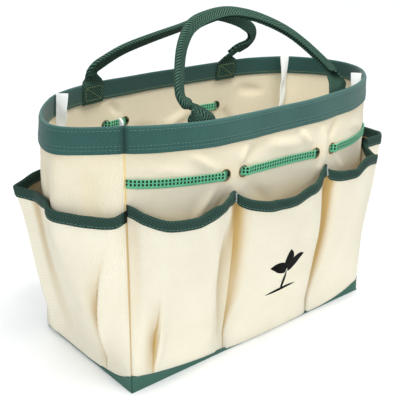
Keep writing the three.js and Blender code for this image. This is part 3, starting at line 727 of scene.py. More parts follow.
def make_band(side):
    wall = WALLS[side]
    depth, offset, n_up, n_off = fold_over(BAND_OUTSIDE - BAND_CREST, BAND_INSIDE - BAND_CREST,
                                           BAND_MIDDLE, BAND_RADIUS)
    arc = lengths_along(pairs(depth, offset))
    places = np.linspace(-1, 1, 81 if wall.is_end else 161)
    places[[1, -2]] = -0.99, 0.99
    s = places[:, None]
    hem = (ease(depth, 12, BAND_OUTSIDE) * (offset > 0))[None, :]
    thick = np.full(len(depth), TAPE_THICKNESS)
    thick[:2] = thick[-2:] = HEM_THICKNESS

    def face(sign):
        rise = RIM - BAND_CREST - depth + sign * n_up * thick / 2
        out = offset + sign * n_off * thick / 2
        return wall.point(s, rise[None, :], out[None, :] + flutter(wall, s) * hem)

    uv = pairs(s * wall.half(RIM) + 400 * wall.turn, arc[None, :])
    # Painted shade: dark at the band's ends by the corner seams, and some over the half that hangs
    # inside the bag.
    seam = 0.9 * ease(np.abs(s), 0.984, 0.996) * np.ones_like(depth)[None, :]
    inward = 0.4 * (np.arange(len(depth)) > SIDE_STEPS + 3)[None, :]
    band = cloth(f"rim_band_cloth_{side}", face(1), face(-1), uv, rim_cloth, "rim_cloth",
                 painted_shade=(np.maximum(seam, inward), seam))
    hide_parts(f"rim_band_{side}")
    inset = np.linspace(-0.985, 0.985, 120 if wall.is_end else 240)
    rows = []
    for z in (RIM - 3.6, RIM - BAND_OUTSIDE + 3.4, RIM - BAND_OUTSIDE + 6.4):
        off = 1.32 + flutter(wall, inset) * ease(RIM - z, 12, BAND_OUTSIDE)
        rows.append(stitch_row(*line_on(wall, inset, z, off), 2.2, 1.1, 0.2))
    inner = stitch_row(*line_on(wall, inset, RIM - BAND_INSIDE + 2.2, -2.52), 2.3, 1.0, 0.24)
    return rows, inner


band_stitches, band_inner_stitches = [], []
for side in SIDES:
    rows, inner_row = make_band(side)
    band_stitches += rows
    band_inner_stitches.append(inner_row)
stitches("rim_stitches", band_stitches, green_thread, "rim_cloth")
stitches("rim_inner_stitches", band_inner_stitches, moss_thread, "rim_cloth")


# ---- Base ----------------------------------------------------------------------------

LIP_PLACES = np.linspace(-1, 1, 121)
LIP_PLACES[[1, -2]] = -0.992, 0.992
LIP_PLACES = LIP_PLACES[:-1]
# From the bottom's edge round a soft corner, then up the wall. Above the corner, heights
# are stretched to the lip's own height at each place.
LIP_BEND = 1.7
LIP_RISE = np.concatenate([[0.0, 0.15, 0.5, 1.0, LIP_BEND], np.linspace(3, LIP_CORNER, 14)])
LIP_BULGE = np.concatenate([[-1.6, -0.75, -0.3, -0.08, 0], np.zeros(14)])
LIP_OUTER, LIP_INNER = 2.6, 1.6


def make_lip():
    outer, inner, uv, rows = [], [], [], []
    s = LIP_PLACES[:, None]
    stretch = (LIP_RISE - LIP_BEND) / (LIP_CORNER - LIP_BEND)
    for wall in WALLS.values():
        z = np.where(LIP_RISE > LIP_BEND + 0.1, LIP_BEND + stretch * (wall.lip(s) - LIP_BEND),
                     LIP_RISE)
        outer.append(wall.point(s, z, LIP_OUTER + LIP_BULGE[None, :]))
        inner.append(wall.point(s, np.maximum(z, 0.9), LIP_INNER + 0.4 * LIP_BULGE[None, :]))
        uv.append(pairs(s * wall.half(0) + 400 * wall.turn, z))
        inset = np.linspace(-0.985, 0.985, 200)
        points, out = line_on(wall, inset, wall.lip(inset) - 1.9, LIP_OUTER + 0.02)
        rows.append(stitch_row(points, out, 2.3, 1.0, 0.22))
    outer, inner, uv = (np.concatenate([*v, v[0][:1]]) for v in (outer, inner, uv))
    uv[-1] += [1600, 0]
    # Painted shade in the lip's corners.
    corner = np.tile(np.abs(LIP_PLACES) > 0.995, len(SIDES))
    corner = np.append(corner, corner[0])[:, None] * 0.9
    lip = cloth("base_lip", outer, inner, uv, base_cloth, "base_cloth", painted_shade=(corner, corner))
    stitches("base_stitches", rows, green_thread, "base_cloth")


def make_bottom():
    """The bottom cloth, which stands a fraction off the ground between its corners."""
    x, y = (np.linspace(-half - 2.2, half + 2.2, count) for half, count in zip(BASE, (61, 31)))
    gx, gy = np.meshgrid(x, y, indexing="ij")
    free = (1 - (gx / x[-1]) ** 6) * (1 - (gy / y[-1]) ** 6)
    under = 0.12 * (1 + np.sin(gx / 23 + gy / 31)) * free
    bottom = cloth("base_bottom", np.stack([gx, gy, under + 1.05], -1),
                   np.stack([gx, gy, under], -1), pairs(gx, gy), base_cloth, "base_cloth")
    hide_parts("base_tray")


make_lip()
make_bottom()
for material_slot in bpy.data.objects["base_board"].material_slots:
    material_slot.material = board


# ---- Pockets -------------------------------------------------------------------------

POCKET_TOP = 174
DIVIDER = 57
SEAM_OFF, STAND_OFF, LEAST_OFF = 1.3, 1.4, 0.7  # the cloth's middle from the wall
SWELL = 0.55
HANG_AT = 0.05  # the share of a pocket's height where its cloth hangs lowest over its foot
TUCK_LINE, TUCK_STEP = 0.8, 2.2
RIPPLE = 0.35
# The columns across a pocket: share of the width at the top, half way up and at the foot;
# bulge at the top and half way up; scoop of the top edge.
LONG_COLUMNS = [
    (0, 0, 0, 0, 0, 0), (0.03, 0.045, 0.012, 3, 0.8, 3), (0.12, 0.115, 0.05, 11, 11, 9),
    (0.3, 0.28, 0.25, 18, 18.5, 13), (0.5, 0.5, 0.5, 20, 21, 14),
    (0.7, 0.72, 0.75, 18, 18.5, 13), (0.88, 0.885, 0.95, 11, 11, 10),
    (0.97, 0.955, 0.988, 3, 0.8, 4), (1, 1, 1, 0, 0, 0),
]
LEFT_END_COLUMNS = [
    (0, 0, 0, 0, 0, 2), (0.03, 0.021, 0.012, 4, 4, 3),
    (0.085, 0.0575, 0.03, 11, 11, 4), (0.16, 0.1075, 0.055, 17, 17, 6),
    (0.225, 0.1575, 0.09, 21, 21, 7), (0.27, 0.225, 0.18, 11, 11, 7),
    (0.33, 0.305, 0.28, 4, 4, 6), (0.46, 0.45, 0.44, 1, 1, 3),
    (0.62, 0.61, 0.6, 1, 1, 2), (0.76, 0.76, 0.76, 4, 4, 4),
    (0.87, 0.87, 0.87, 5, 5, 7), (0.95, 0.95, 0.95, 3, 3, 9),
    (1, 1, 1, 0, 0, 5),
]
RIGHT_END_COLUMNS = [
    (0, 0, 0, 0, 0, 2), (0.035, 0.0235, 0.012, 4, 4, 2),
    (0.085, 0.0575, 0.03, 11, 11, 2), (0.14, 0.0975, 0.055, 17, 17, 3),
    (0.185, 0.1375, 0.09, 17, 17, 3), (0.225, 0.1975, 0.17, 11, 11, 3),
    (0.3, 0.29, 0.28, 4, 4, 3), (0.5, 0.5, 0.5, 2, 2, 3),
    (0.7, 0.7, 0.7, 3, 3, 4), (0.86, 0.86, 0.86, 5, 5, 6),
    (0.95, 0.95, 0.95, 3, 3, 6), (1, 1, 1, 0, 0, 3),
]
# The front pockets' fullness is pushed to one side, which leaves a flat valley by a divider.
FIRST_COLUMNS = [
    (0, 0, 0, 0, 0, 0), (0.03, 0.045, 0.02, 2.5, 3, 0), (0.12, 0.125, 0.1, 11, 12, 3),
    (0.3, 0.28, 0.25, 19, 19.5, 7.5), (0.5, 0.5, 0.5, 17.5, 21, 8.5),
    (0.7, 0.725, 0.8, 16, 16.5, 1), (0.88, 0.855, 0.955, 9, 1.2, -0.5),
    (0.97, 0.955, 0.99, 1.8, 0.3, -0.5), (1, 1, 1, 0, 0, 0),
]
MIDDLE_COLUMNS = [
    (0, 0, 0, 0, 0, 0), (0.03, 0.035, 0.01, 3.5, 0.5, 4), (0.12, 0.12, 0.05, 11, 9, 8.5),
    (0.3, 0.28, 0.25, 18, 18, 12), (0.5, 0.5, 0.5, 18.5, 21, 13),
    (0.7, 0.72, 0.75, 18, 19.5, 7.5), (0.88, 0.9, 0.95, 8, 14, 6.5),
    (0.97, 0.975, 0.992, 1, 4.5, 2), (1, 1, 1, 0, 0, 0),
]
LAST_COLUMNS = [
    (0, 0, 0, 0, 0, 0), (0.03, 0.055, 0.012, 2, 0.4, 5), (0.12, 0.14, 0.05, 11, 10.5, 7),
    (0.3, 0.28, 0.22, 15.5, 18.5, 7.5), (0.5, 0.5, 0.5, 18, 21, 0.5),
    (0.7, 0.7, 0.73, 18.5, 18.5, 4.5), (0.88, 0.88, 0.93, 11, 11.5, 11),
    (0.97, 0.97, 0.98, 3, 3, 8.5), (1, 1, 1, 0, 0, 0),
]


class Pocket:
    """A pocket's cloth. u runs from 0 to 1 along its top edge, and share up it."""

    def __init__(self, side, start, finish, columns, tucks, folds, hang, cover=0.0, skew=(0, 0)):
        self.wall = WALLS[side]
        half = self.wall.half(POCKET_TOP)
        self.start, self.finish = start / half, finish / half
        self.columns = np.array(columns, float)
        self.tucks, self.folds = tucks, folds
        self.hang, self.cover, self.skew = hang, cover, skew

    def shape(self, u, share):
        """Place, height and distance from the wall of the middle of the cloth."""
        tops, mids, feet, bulges, mid_bulges, scoops = self.columns.T
        mid, foot, bulge, mid_bulge, scoop = (
            smooth_curve(tops, v, u) for v in (mids, feet, bulges, mid_bulges, scoops))
        low_part, high_part = ease(share, 0, 0.55), ease(share, 0.55, 1)
        start, finish = (end + (1 - share) * skew / self.wall.half(0)
                         for end, skew in zip((self.start, self.finish), self.skew))
        place = lerp(start, finish, lerp(lerp(foot, mid, low_part), u, high_part))
        bulge = lerp(mid_bulge, bulge, high_part)
        # A cloth that covers the lip at its first end is sewn lower there.
        low = lerp(self.wall.lip(place) - 1, 3.0, self.cover * ease(-place, -0.55, 0.1))
        loose = np.clip(bulge / 6, 0, 1)
        sag = share / HANG_AT * np.exp(1 - share / HANG_AT)
        z = np.maximum(lerp(low, POCKET_TOP - scoop, share) - self.hang * sag * loose, 1.2)
        along = place * self.wall.half(z)
        covering = 2.0 * self.cover * ease(-place, -0.6, 0) * (1 - ease(share, 0, 0.25))
        off = SEAM_OFF + STAND_OFF * share + bulge * share ** SWELL + covering
        off = off + loose * (creases(self.folds, along, z)
                             + RIPPLE * np.sin(along / 11 + z / 37) * np.sin(PI * share))
        for at, lean, height, deep, width in self.tucks:
            # A tuck: the cloth sinks towards the fold line and steps up past it.
            d = along - (at + lean * z)
            fade = (1 - ease(z, 0.3 * height, height)) * ease(share, 0.0, 0.3)
            dip = np.where(d < 0, np.exp(-(d / width) ** 2), np.exp(-(d / TUCK_LINE) ** 2))
            lift = np.where(d > 0, np.exp(-((d - TUCK_STEP) / 5.0) ** 2), 0)
            off = off + fade * (-deep * dip + 0.6 * deep * lift * ease(d, 0, 1.3))
        return place, z, np.maximum(off, LEAST_OFF)

    def tuck_shade(self, u, share, tuck):
        """Painted shade: a dark line along the fold, and a soft shade on its sunken side."""
        at, lean, height, _, width = tuck
        place, z, _ = self.shape(u, share)
        d = place * self.wall.half(z) - (at + lean * z)
        fade = 1 - ease(z, 0.45 * height, 1.05 * height)
        soft = np.where(d < 0, 0.5 * np.exp(-(d / width) ** 2), 0) * ease(share, 0, 0.1)
        return fade * (0.9 * np.exp(-(d / TUCK_LINE) ** 2) + soft)

    def middle(self, u, share, extra=0.0):
        place, z, off = self.shape(u, share)
        return self.wall.point(place, z, off + extra)

    def point(self, u, share, offset):
        """A point offset outwards from the middle of the pocket's cloth."""
        u, share, offset = arrays(u, share, offset)
        mid = self.middle(u, share)
        after, before = (self.middle(np.clip(u + step, 0, 1), share) for step in (0.006, -0.006))
        ahead = after - before
        side = np.stack([ahead[..., 1], -ahead[..., 0], np.zeros_like(ahead[..., 0])], -1)
        # At its seams the cloth is offset straight out of the wall.
        edge = self.middle(u, share, 1.0) - mid
        w = ease(np.minimum(u, 1 - u), 0, 0.03)[..., None]
        return mid + lerp(edge, unit(side), w) * offset[..., None]


# Painted shade darkens the cloth where it lies lower than the cloth some way to each side: how far
# it is compared, the drop that starts to show, and the further drop that shows fully.
VALLEY_REACH, VALLEY_START, VALLEY_RANGE = 24, 0.9, 4.2
# How dark the painted shade gets in a valley, and the share of it kept beside a corner seam.
VALLEY_SHADE, CORNER_SHADE = 0.95, 0.15
BINDING_OUTSIDE, BINDING_INSIDE, BINDING_RADIUS = 9.2, 8.8, 1.35
POCKET_STEPS = 91
TYPICAL_SCOOP = 15.0


def is_divider(place):
    return abs(place) < 0.6


def valley_shade(pocket, width, u, share):
    spots, lengths = np.linspace(0, 1, 241), share[0]
    stand = pocket.shape(spots[:, None], lengths[None, :])[2]
    reach = round(VALLEY_REACH / (width / 240))
    padded = np.concatenate([stand[reach:0:-1], stand, stand[-2:-reach - 2:-1]])
    window = np.ones(2 * reach + 1) / (2 * reach + 1)
    around = np.apply_along_axis(lambda v: np.convolve(v, window, "valid"), 0, padded)
    low = np.clip((around - stand - VALLEY_START) / VALLEY_RANGE, 0, 1)
    low = np.array([np.interp(u[:, 0], spots, column) for column in low.T]).T
    at_start, at_end = (1.0 if is_divider(end) else CORNER_SHADE
                        for end in (pocket.start, pocket.finish))
    low = low * lerp(at_start, 1, ease(u, 0, 0.3)) * lerp(1, at_end, ease(u, 0.7, 1))
    # Painted shade on the bank just past a divider where the pocket starts.
    if is_divider(pocket.start):
        bank = 1 - ease(u, 0.015, 0.03 + 0.1 * ease(share, 0, 0.4))
        low = np.maximum(low, bank * lerp(VALLEY_SHADE, 0.42, ease(share, 0.05, 0.9)))
    return low


def make_pocket(name, pocket, width):
    t = np.linspace(0, 1, POCKET_STEPS)
    u = (t - 0.35 * np.sin(2 * PI * t) / (2 * PI))[:, None]  # closer together near both ends
    share = np.concatenate([np.linspace(0, 0.12, 16)[:-1], np.linspace(0.12, 1, 58)])[None, :]
    across = lerp(pocket.start, pocket.finish, u) * pocket.wall.half(POCKET_TOP)
    uv = pairs(across + 37 * pocket.wall.turn, share * POCKET_TOP + 0.25)
    # Painted shade: dark along the pocket's seams, in its tucks and valleys, and some over its
    # inner face.
    seam = 1 - ease(np.minimum(u, 1 - u), 0.001, 0.009)
    tucked = sum(pocket.tuck_shade(u, share, tuck) for tuck in pocket.tucks)
    low = valley_shade(pocket, width, u, share)
    painted_shade = np.clip(np.maximum(VALLEY_SHADE * low, seam) + tucked, 0, 1), 0.45
    piece = cloth(f"{name}_cloth", pocket.point(u, share, 0.5), pocket.point(u, share, -0.5),
                  uv, canvas, "canvas", painted_shade=painted_shade)
    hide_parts(name)

    height = POCKET_TOP - TYPICAL_SCOOP
    depth, offset, n_up, n_off = fold_over(BINDING_OUTSIDE, BINDING_INSIDE, 0.0, BINDING_RADIUS)
    depth = depth - 1.0
    arc = lengths_along(pairs(depth, offset))

    def face(sign):
        down = depth - sign * n_up * TAPE_THICKNESS / 2
        off = offset + sign * n_off * TAPE_THICKNESS / 2
        points = pocket.point(u, 1 - np.maximum(down, 0)[None, :] / height, off[None, :])
        points[..., 2] += np.maximum(-down, 0)[None, :]
        return points

    edge = lengths_along(pocket.point(u[:, 0], 1.0, 0.0))
    uv = pairs(arc[None, :], edge[:, None])
    # Painted shade darkens both ends of the binding, in the notch where it meets the next one.
    pinch_shade = 0.9 * (1 - ease(np.minimum(u, 1 - u), 0.004, 0.02))
    binding = cloth(f"{name}_edge", face(1), face(-1), uv, tape_cloth, "binding_tape",
                    painted_shade=(pinch_shade, pinch_shade))
    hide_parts(f"{name}_binding")
    inset = np.linspace(0.015, 0.985, 160)
    rows = []
    for sign in (1, -1):
        points, away = (pocket.point(inset, 1 - 6.3 / height, sign * off) for off in (1.83, 2.83))
        rows.append(stitch_row(points, away - points, 2.3, 1.0, 0.22))
    return rows


# The front dividers are sewn aslant, further along at the foot than at the top.
SKEW = 11
LONG_SEAM = WALLS["front"].half(POCKET_TOP)
END_SEAM = WALLS["left"].half(POCKET_TOP)
# Side, first and last edge, columns, tucks, folds, and how far the cloth hangs over its
# foot. A tuck is (along at the foot, lean, height, depth, width).
POCKETS = {
    "front_pocket_left": Pocket(
        "front", -LONG_SEAM, -DIVIDER, FIRST_COLUMNS, [(-132, 0.03, 96, 6.5, 8)],
        [(-104, 60, -76, 120, 9, 0.9), (-92, 20, -84, 90, 7, 0.7)], 4, skew=(0, SKEW)),
    "front_pocket_middle": Pocket(
        "front", -DIVIDER, DIVIDER, MIDDLE_COLUMNS, [],
        [(-30, 20, -22, 90, 8, 0.8), (30, 16, 22, 80, 8, 0.7)], 5, skew=(SKEW, SKEW)),
    "front_pocket_right": Pocket(
        "front", DIVIDER, LONG_SEAM, LAST_COLUMNS, [],
        [(84, 30, 92, 110, 8, 0.9)], 5, skew=(SKEW, 0)),
    "back_pocket_right": Pocket(
        "back", -LONG_SEAM, -DIVIDER, LONG_COLUMNS, [(-122, 0.05, 80, 3.6, 8)],
        [(-96, 40, -80, 110, 9, 0.9)], 4),
    "back_pocket_middle": Pocket(
        "back", -DIVIDER, DIVIDER, LONG_COLUMNS, [],
        [(-24, 18, -30, 90, 8, 0.8), (24, 24, 34, 100, 8, 0.7)], 5),
    "back_pocket_left": Pocket(
        "back", DIVIDER, LONG_SEAM, LONG_COLUMNS, [(121, -0.05, 74, 3.4, 8)],
        [(80, 24, 88, 110, 8, 0.8)], 4),
    "left_end_pocket": Pocket(
        "left", -END_SEAM, END_SEAM, LEFT_END_COLUMNS, [(31, 0.14, 140, 6.0, 8)],
        [(-22, 30, -30, 120, 8, 0.9)], 1, cover=1),
    "right_end_pocket": Pocket(
        "right", -END_SEAM, END_SEAM, RIGHT_END_COLUMNS, [(34, -0.07, 115, 3.8, 9)],
        [(-18, 30, -26, 120, 8, 0.9)], 1),
}
POCKET_WIDTHS = {"left": 104, "middle": 126, "right": 104, "pocket": 138}
pocket_rows = []
for name, pocket in POCKETS.items():
    pocket_rows += make_pocket(name, pocket, POCKET_WIDTHS[name.split("_")[-1]])
stitches("pocket_edge_stitches", pocket_rows, green_thread, "binding_tape")

# A printed sprout on the front middle pocket: a stem, three leaves and a line of soil.
# Each shape has a middle line and its widest half width.
PRINT_CENTRE = (0.515, 0.48)
INK_OUTER, INK_INNER = 0.66, 0.52
PRINT_SHAPES = [
    ([(-0.8, -21), (-0.6, -12), (0, -4), (0, 3)], 1.7),
    ([(0, 5.5), (0.6, 12), (0.6, 20), (0, 27.5)], 5.4),
    ([(-1.8, 1.5), (-7, 8.5), (-13, 11.5), (-20, 12)], 5.8),
    ([(1.8, 1.5), (7, 8.5), (13, 11.5), (20, 12)], 5.8),
    ([(-17, -21.5), (-6, -19.6), (6, -19.6), (17, -21.5)], 1.8),
]
PRINT_STEPS = 41


def print_shape(number, points, half_width):
    pocket = POCKETS["front_pocket_middle"]
    line = through_points(points, PRINT_STEPS)
    ahead = unit(np.gradient(line, axis=0))
    t = np.linspace(0, 1, PRINT_STEPS)
    widest = half_width * np.clip(np.sin(PI * t ** 0.85), 0.05, 1) ** 0.75
    side = np.stack([-ahead[:, 1], ahead[:, 0]], -1)
    reach = widest[:, None] * np.linspace(-1, 1, 11)[None, :]
    spots = line[:, None] + side[:, None] * reach[..., None]
    u = PRINT_CENTRE[0] + spots[..., 0] / (2 * DIVIDER)
    share = PRINT_CENTRE[1] + spots[..., 1] / (POCKET_TOP - TYPICAL_SCOOP)
    cloth(f"sprout_print_{number}", pocket.point(u, share, INK_OUTER),
          pocket.point(u, share, INK_INNER), spots, ink, "canvas")


for number, (points, half_width) in enumerate(PRINT_SHAPES):
    print_shape(number, points, half_width)

# The dividers' stitches show inside the bag, and a bar tack closes each one's top.
TACK_FOOT, TACK_STEP, TACK_ROWS, TACK_HALF, TACK_OFFSET = POCKET_TOP - 8.6, 1.35, 7, 1.3, 4.7
divider_rows, tack_rows = [], []
for side in ("front", "back"):
    wall = WALLS[side]
    for along in (-DIVIDER, DIVIDER):
        z = np.linspace(9, POCKET_TOP, 120)
        aslant = SKEW * (1 - z / POCKET_TOP) if side == "front" else 0
        points, out = line_on(wall, (along + aslant) / wall.half(z), z, -CANVAS + 0.02)
        divider_rows.append(stitch_row(points, out, 2.6, 1.0, 0.24))
        span = along + np.linspace(-TACK_HALF, TACK_HALF, 6)
        for height in TACK_FOOT + TACK_STEP * np.arange(TACK_ROWS):
            origin = wall.at(span, height, TACK_OFFSET)
            out = wall.at(span, height, TACK_OFFSET + 1) - origin
            tack_rows.append(stitch_row(origin, out, 2.4, 0.1, 0.5))
stitches("divider_stitches", divider_rows, cream_thread, "canvas")
stitches("divider_tacks", tack_rows, grey_thread, "binding_tape")


# ---- Eyelets -------------------------------------------------------------------------

FLANGE_RADIUS, FLANGE_HALF_WIDTH, FLANGE_HEIGHT = 4.85, 0.6, 0.7


def eyelet(name, side, along):
    """A tube through the wall with a rolled flange on each face."""
    wall = WALLS[side]
    origin, right, up, out = wall.frame_at(along, elastic_height(side, along), -CANVAS / 2)
    seat = CANVAS / 2 - SKIN
    roll = np.linspace(0, PI, 9)
    radius = FLANGE_RADIUS - FLANGE_HALF_WIDTH * np.cos(roll)
    lift = seat + FLANGE_HEIGHT * np.sin(roll)
    barrel = [[5.45, seat * 0.4], [4.55, seat * 0.2], [4.55, -seat * 0.2], [5.45, -seat * 0.4]]
    profile = np.concatenate([np.stack([radius, lift], -1), barrel,
                              np.stack([radius[::-1], -lift[::-1]], -1)])
    turns = np.linspace(0, 2 * PI, 41)[:-1]
    radial = np.cos(turns)[:, None] * right + np.sin(turns)[:, None] * up
    rings = origin + profile[None, :, :1] * radial[:, None] + profile[None, :, 1:] * out
    count, around = rings.shape[:2]
    number = np.arange(count * around).reshape(count, around)
    ahead = np.roll(number, -1, axis=0)
    side_on = np.roll(number, -1, axis=1)
    quads = np.stack([number, side_on, np.roll(side_on, -1, axis=0), ahead], -1).reshape(-1, 4)
    uv = rings.reshape(-1, 3)[:, :2]
    piece = add_piece(f"{name}_ring", rings.reshape(-1, 3), [quads], uv, brass, "eyelet_brass")
    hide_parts(name)


for side, places in EYELETS.items():
    for n, along in enumerate(places):
        eyelet(f"eyelet_{side}_{n + 1}", side, along)


# ---- Elastics ------------------------------------------------------------------------

ELASTIC_WIDTH = 7.6
ELASTIC_THICKNESS = 1.5
OUTSIDE, INSIDE = 1.3, -CANVAS - 1.3  # the strap's middle from the wall's outer face
END_CURL = 2.6


def elastic_strap(side):
    wall = WALLS[side]
    half = wall.half(ELASTIC_HEIGHTS[side])
    along = np.linspace(-half + 0.4, half - 0.4, 901)
    offset = np.full_like(along, OUTSIDE)
    for n, centre in enumerate(EYELETS[side]):
        offset = lerp(offset, OUTSIDE if n % 2 else INSIDE,
                      ease(along, centre - 3.6, centre + 3.6))
        # Beside an eyelet the strap rises to clear the flange.
        away = np.abs(along - centre)
        near = np.exp(-(np.maximum(away - 3.4, 0) / 4.5) ** 2)
        is_out = (along < centre) == (n % 2 == 0)
        offset = offset + np.where(is_out, 1.15, -1.15) * near * ease(away, 1.6, 4.2)
    offset = lerp(offset, 0.9, 1 - ease(half - np.abs(along), 0.4, 7))
    curl = END_CURL * ease(along, half - 12, half) if side == "front" else 0
    height = elastic_height(side, along) + curl
    path = evenly(np.stack([along, offset, height], -1), 700)
    along, offset, height = path.T
    mid = wall.point(along / wall.half(height), height, offset)
    ahead = unit(np.gradient(mid, axis=0))
    up = unit(np.array([0, 0, 1.0]) - ahead * ahead[:, 2:])
    out = unit(np.cross(ahead, up))
    w, t = ELASTIC_WIDTH / 2, ELASTIC_THICKNESS / 2
    flat = np.linspace(-w + 1.2, w - 1.2, 7)
    section = np.array([
        (-w, -0.4 * t), (-w, 0.4 * t), (-w + 0.45, t), *((x, t) for x in flat), (w - 0.45, t),
        (w, 0.4 * t), (w, -0.4 * t), (w - 0.45, -t), *((x, -t) for x in flat[::-1]),
        (-w + 0.45, -t)])
    rings = mid[:, None] + section[None, :, :1] * up[:, None] + section[None, :, 1:] * out[:, None]
    reach = lengths_along(mid)
    uv = pairs(reach[:, None], section[None, :, 0])
    piece = tube(f"elastic_strap_{side}", rings, uv, elastic, "elastic", sharp=60)
    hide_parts(f"elastic_{side}")


elastic_strap("front")
elastic_strap("back")


# ---- Seam tapes ----------------------------------------------------------------------

# How far each tape turns aside from the corner's inward direction, in degrees, and how
# much wider it stands than the narrowest.
TAPES = {
    "front_right": ("front", 14, 0), "back_right": ("right", -60, 4),
    "back_left": ("back", 22, 0), "front_left": ("left", 10, 0),
}
TAPE_FOOT, TAPE_TOP, TAPE_WIDTH = 8, 241.6, 7.5
TAPE_ROOT = -3.2


def make_tape(corner, side, aside, wider):
    wall = WALLS[side]
    z = np.concatenate([np.linspace(TAPE_FOOT, 236, 115), np.linspace(237, TAPE_TOP, 8)])
    end, low = np.ones_like(z), np.minimum(z, RIM - 0.6)
    held = ease(z, 205, 225)  # from here up the rim band holds the tape flat
    seam = wall.point(end, low, TAPE_ROOT)
    inward = -(wall.point(end, low, TAPE_ROOT + 1) - seam)
    inward[:, 2] = 0
    inward = unit(inward)
    sway = 9 * np.sin(z / 7.0) * (1 - ease(z, 205, 222))
    angle = np.radians(aside * (0.75 + 0.25 * np.sin(z / 19)) + sway)
    c, s = np.cos(angle)[:, None], np.sin(angle)[:, None]
    sideways = np.cross([0, 0, 1], inward)
    inward, sideways = c * inward + s * sideways, c * sideways - s * inward
    seam[:, 2] = z
    width = TAPE_WIDTH + wider + 2.3 * held + 0.5 * np.sin(z / 5.3)
    across = np.linspace(0, 1, 9)[None, :]
    wave = 0.55 * np.sin(across * PI * 1.4 + z[:, None] / 6) * (1 - 0.7 * held[:, None])
    mid = (seam[:, None] + inward[:, None] * (across * width[:, None])[..., None]
           + sideways[:, None] * wave[..., None])
    outer, inner = mid + sideways[:, None] * 0.6, mid - sideways[:, None] * 0.6
    uv = pairs(across * 10, z[:, None])
    piece = cloth(f"corner_tape_{corner}", outer, inner, uv, satin, "seam_tape")
    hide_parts(f"seam_tape_{corner}")


for corner, settings in TAPES.items():
    make_tape(corner, *settings)


# ---- Handles -------------------------------------------------------------------------

# Each loop lies in one plane, leaning inwards. Its path is (along, up the plane). The
# webbing folds in two between two lengths from each root, and twists by degrees at shares
# of its length.
HANDLES = {
    "front": dict(lean=42, fold=(0, 22),
                  twist=[(0, -25), (0.15, -33), (0.3, -33), (0.45, 0), (0.6, 12), (1, 5)], path=[
        (-85, 0), (-88, 6), (-94, 12), (-97, 19), (-94, 29), (-87, 42), (-77, 58), (-67, 70),
        (-54, 81), (-34, 88), (-6, 91), (18, 86), (37, 77), (55, 64), (68, 49), (78, 33),
        (85, 19), (86, 9), (84, 0)]),
    "back": dict(lean=20, fold=(-1, 13),
                 twist=[(0, -15), (0.22, -15), (0.45, 30), (0.6, 25), (0.8, 13), (1, 0)], path=[
        (-77, 0), (-80, 6), (-90, 11), (-100, 15), (-104, 22), (-100, 31), (-88, 39),
        (-70, 47), (-40, 54), (-15, 50), (3, 45), (34, 38), (66, 29), (84, 20), (94, 13),
        (97, 6), (94, 0)]),
}
TAB = 25
STRAP = 1.7
ROOT_HEIGHT = 241.8
TAB_DEPTH, TAB_STEPS = 20, 14
TAB_OFFSET = -CANVAS - 2 * 0.3 - 1 - STRAP / 2 - 0.1
FOLD_REACH = 2.2
GATHER, NARROWING = 0.78, 0.92
# The sewn box on a tab: half its width, its foot and its head.
BOX_HALF, BOX_FOOT, BOX_HEAD = 10.5, 223.5, 236.5


def strap_section(fold, count=25):
    """The middle line of webbing folded along its middle by an angle, with its normals."""
    w = np.linspace(-TAB / 2, TAB / 2, count)
    fine = np.linspace(-TAB / 2, TAB / 2, 401)
    theta = fold * np.clip((fine + FOLD_REACH) / (2 * FOLD_REACH), 0, 1)
    # The half that turns over is gathered while it stands up, so that it stays low.
    gathered = np.where(fine[1:] > FOLD_REACH, 1 - GATHER * math.sin(fold), 1)
    step, middle = (fine[1] - fine[0]) * gathered, (theta[1:] + theta[:-1]) / 2
    x, y = (np.concatenate([[0], np.cumsum(f(middle) * step)]) for f in (np.cos, np.sin))
    x, y, theta = (np.interp(w, fine, v) for v in (x, y, theta))
    x, y = x - x.mean(), y - y.mean()
    narrow = lerp(1, NARROWING, fold / PI)
    return w, np.stack([-x * narrow, y], -1), np.stack([np.sin(theta), np.cos(theta)], -1)


def strap_ring(fold):
    """The outline of the webbing folded by an angle, and the width at each of its points."""
    w, section, out = strap_section(fold)
    upper, lower = section + out * STRAP / 2, section - out * STRAP / 2
    last = (upper[-1] + lower[-1]) / 2 + (section[-1] - section[-2]) * 0.5
    first = (upper[0] + lower[0]) / 2 + (section[0] - section[1]) * 0.5
    outline = np.concatenate([upper, [last], lower[::-1], [first]])
    return np.concatenate([w, [w[-1]], w[::-1], [w[0]]]), outline


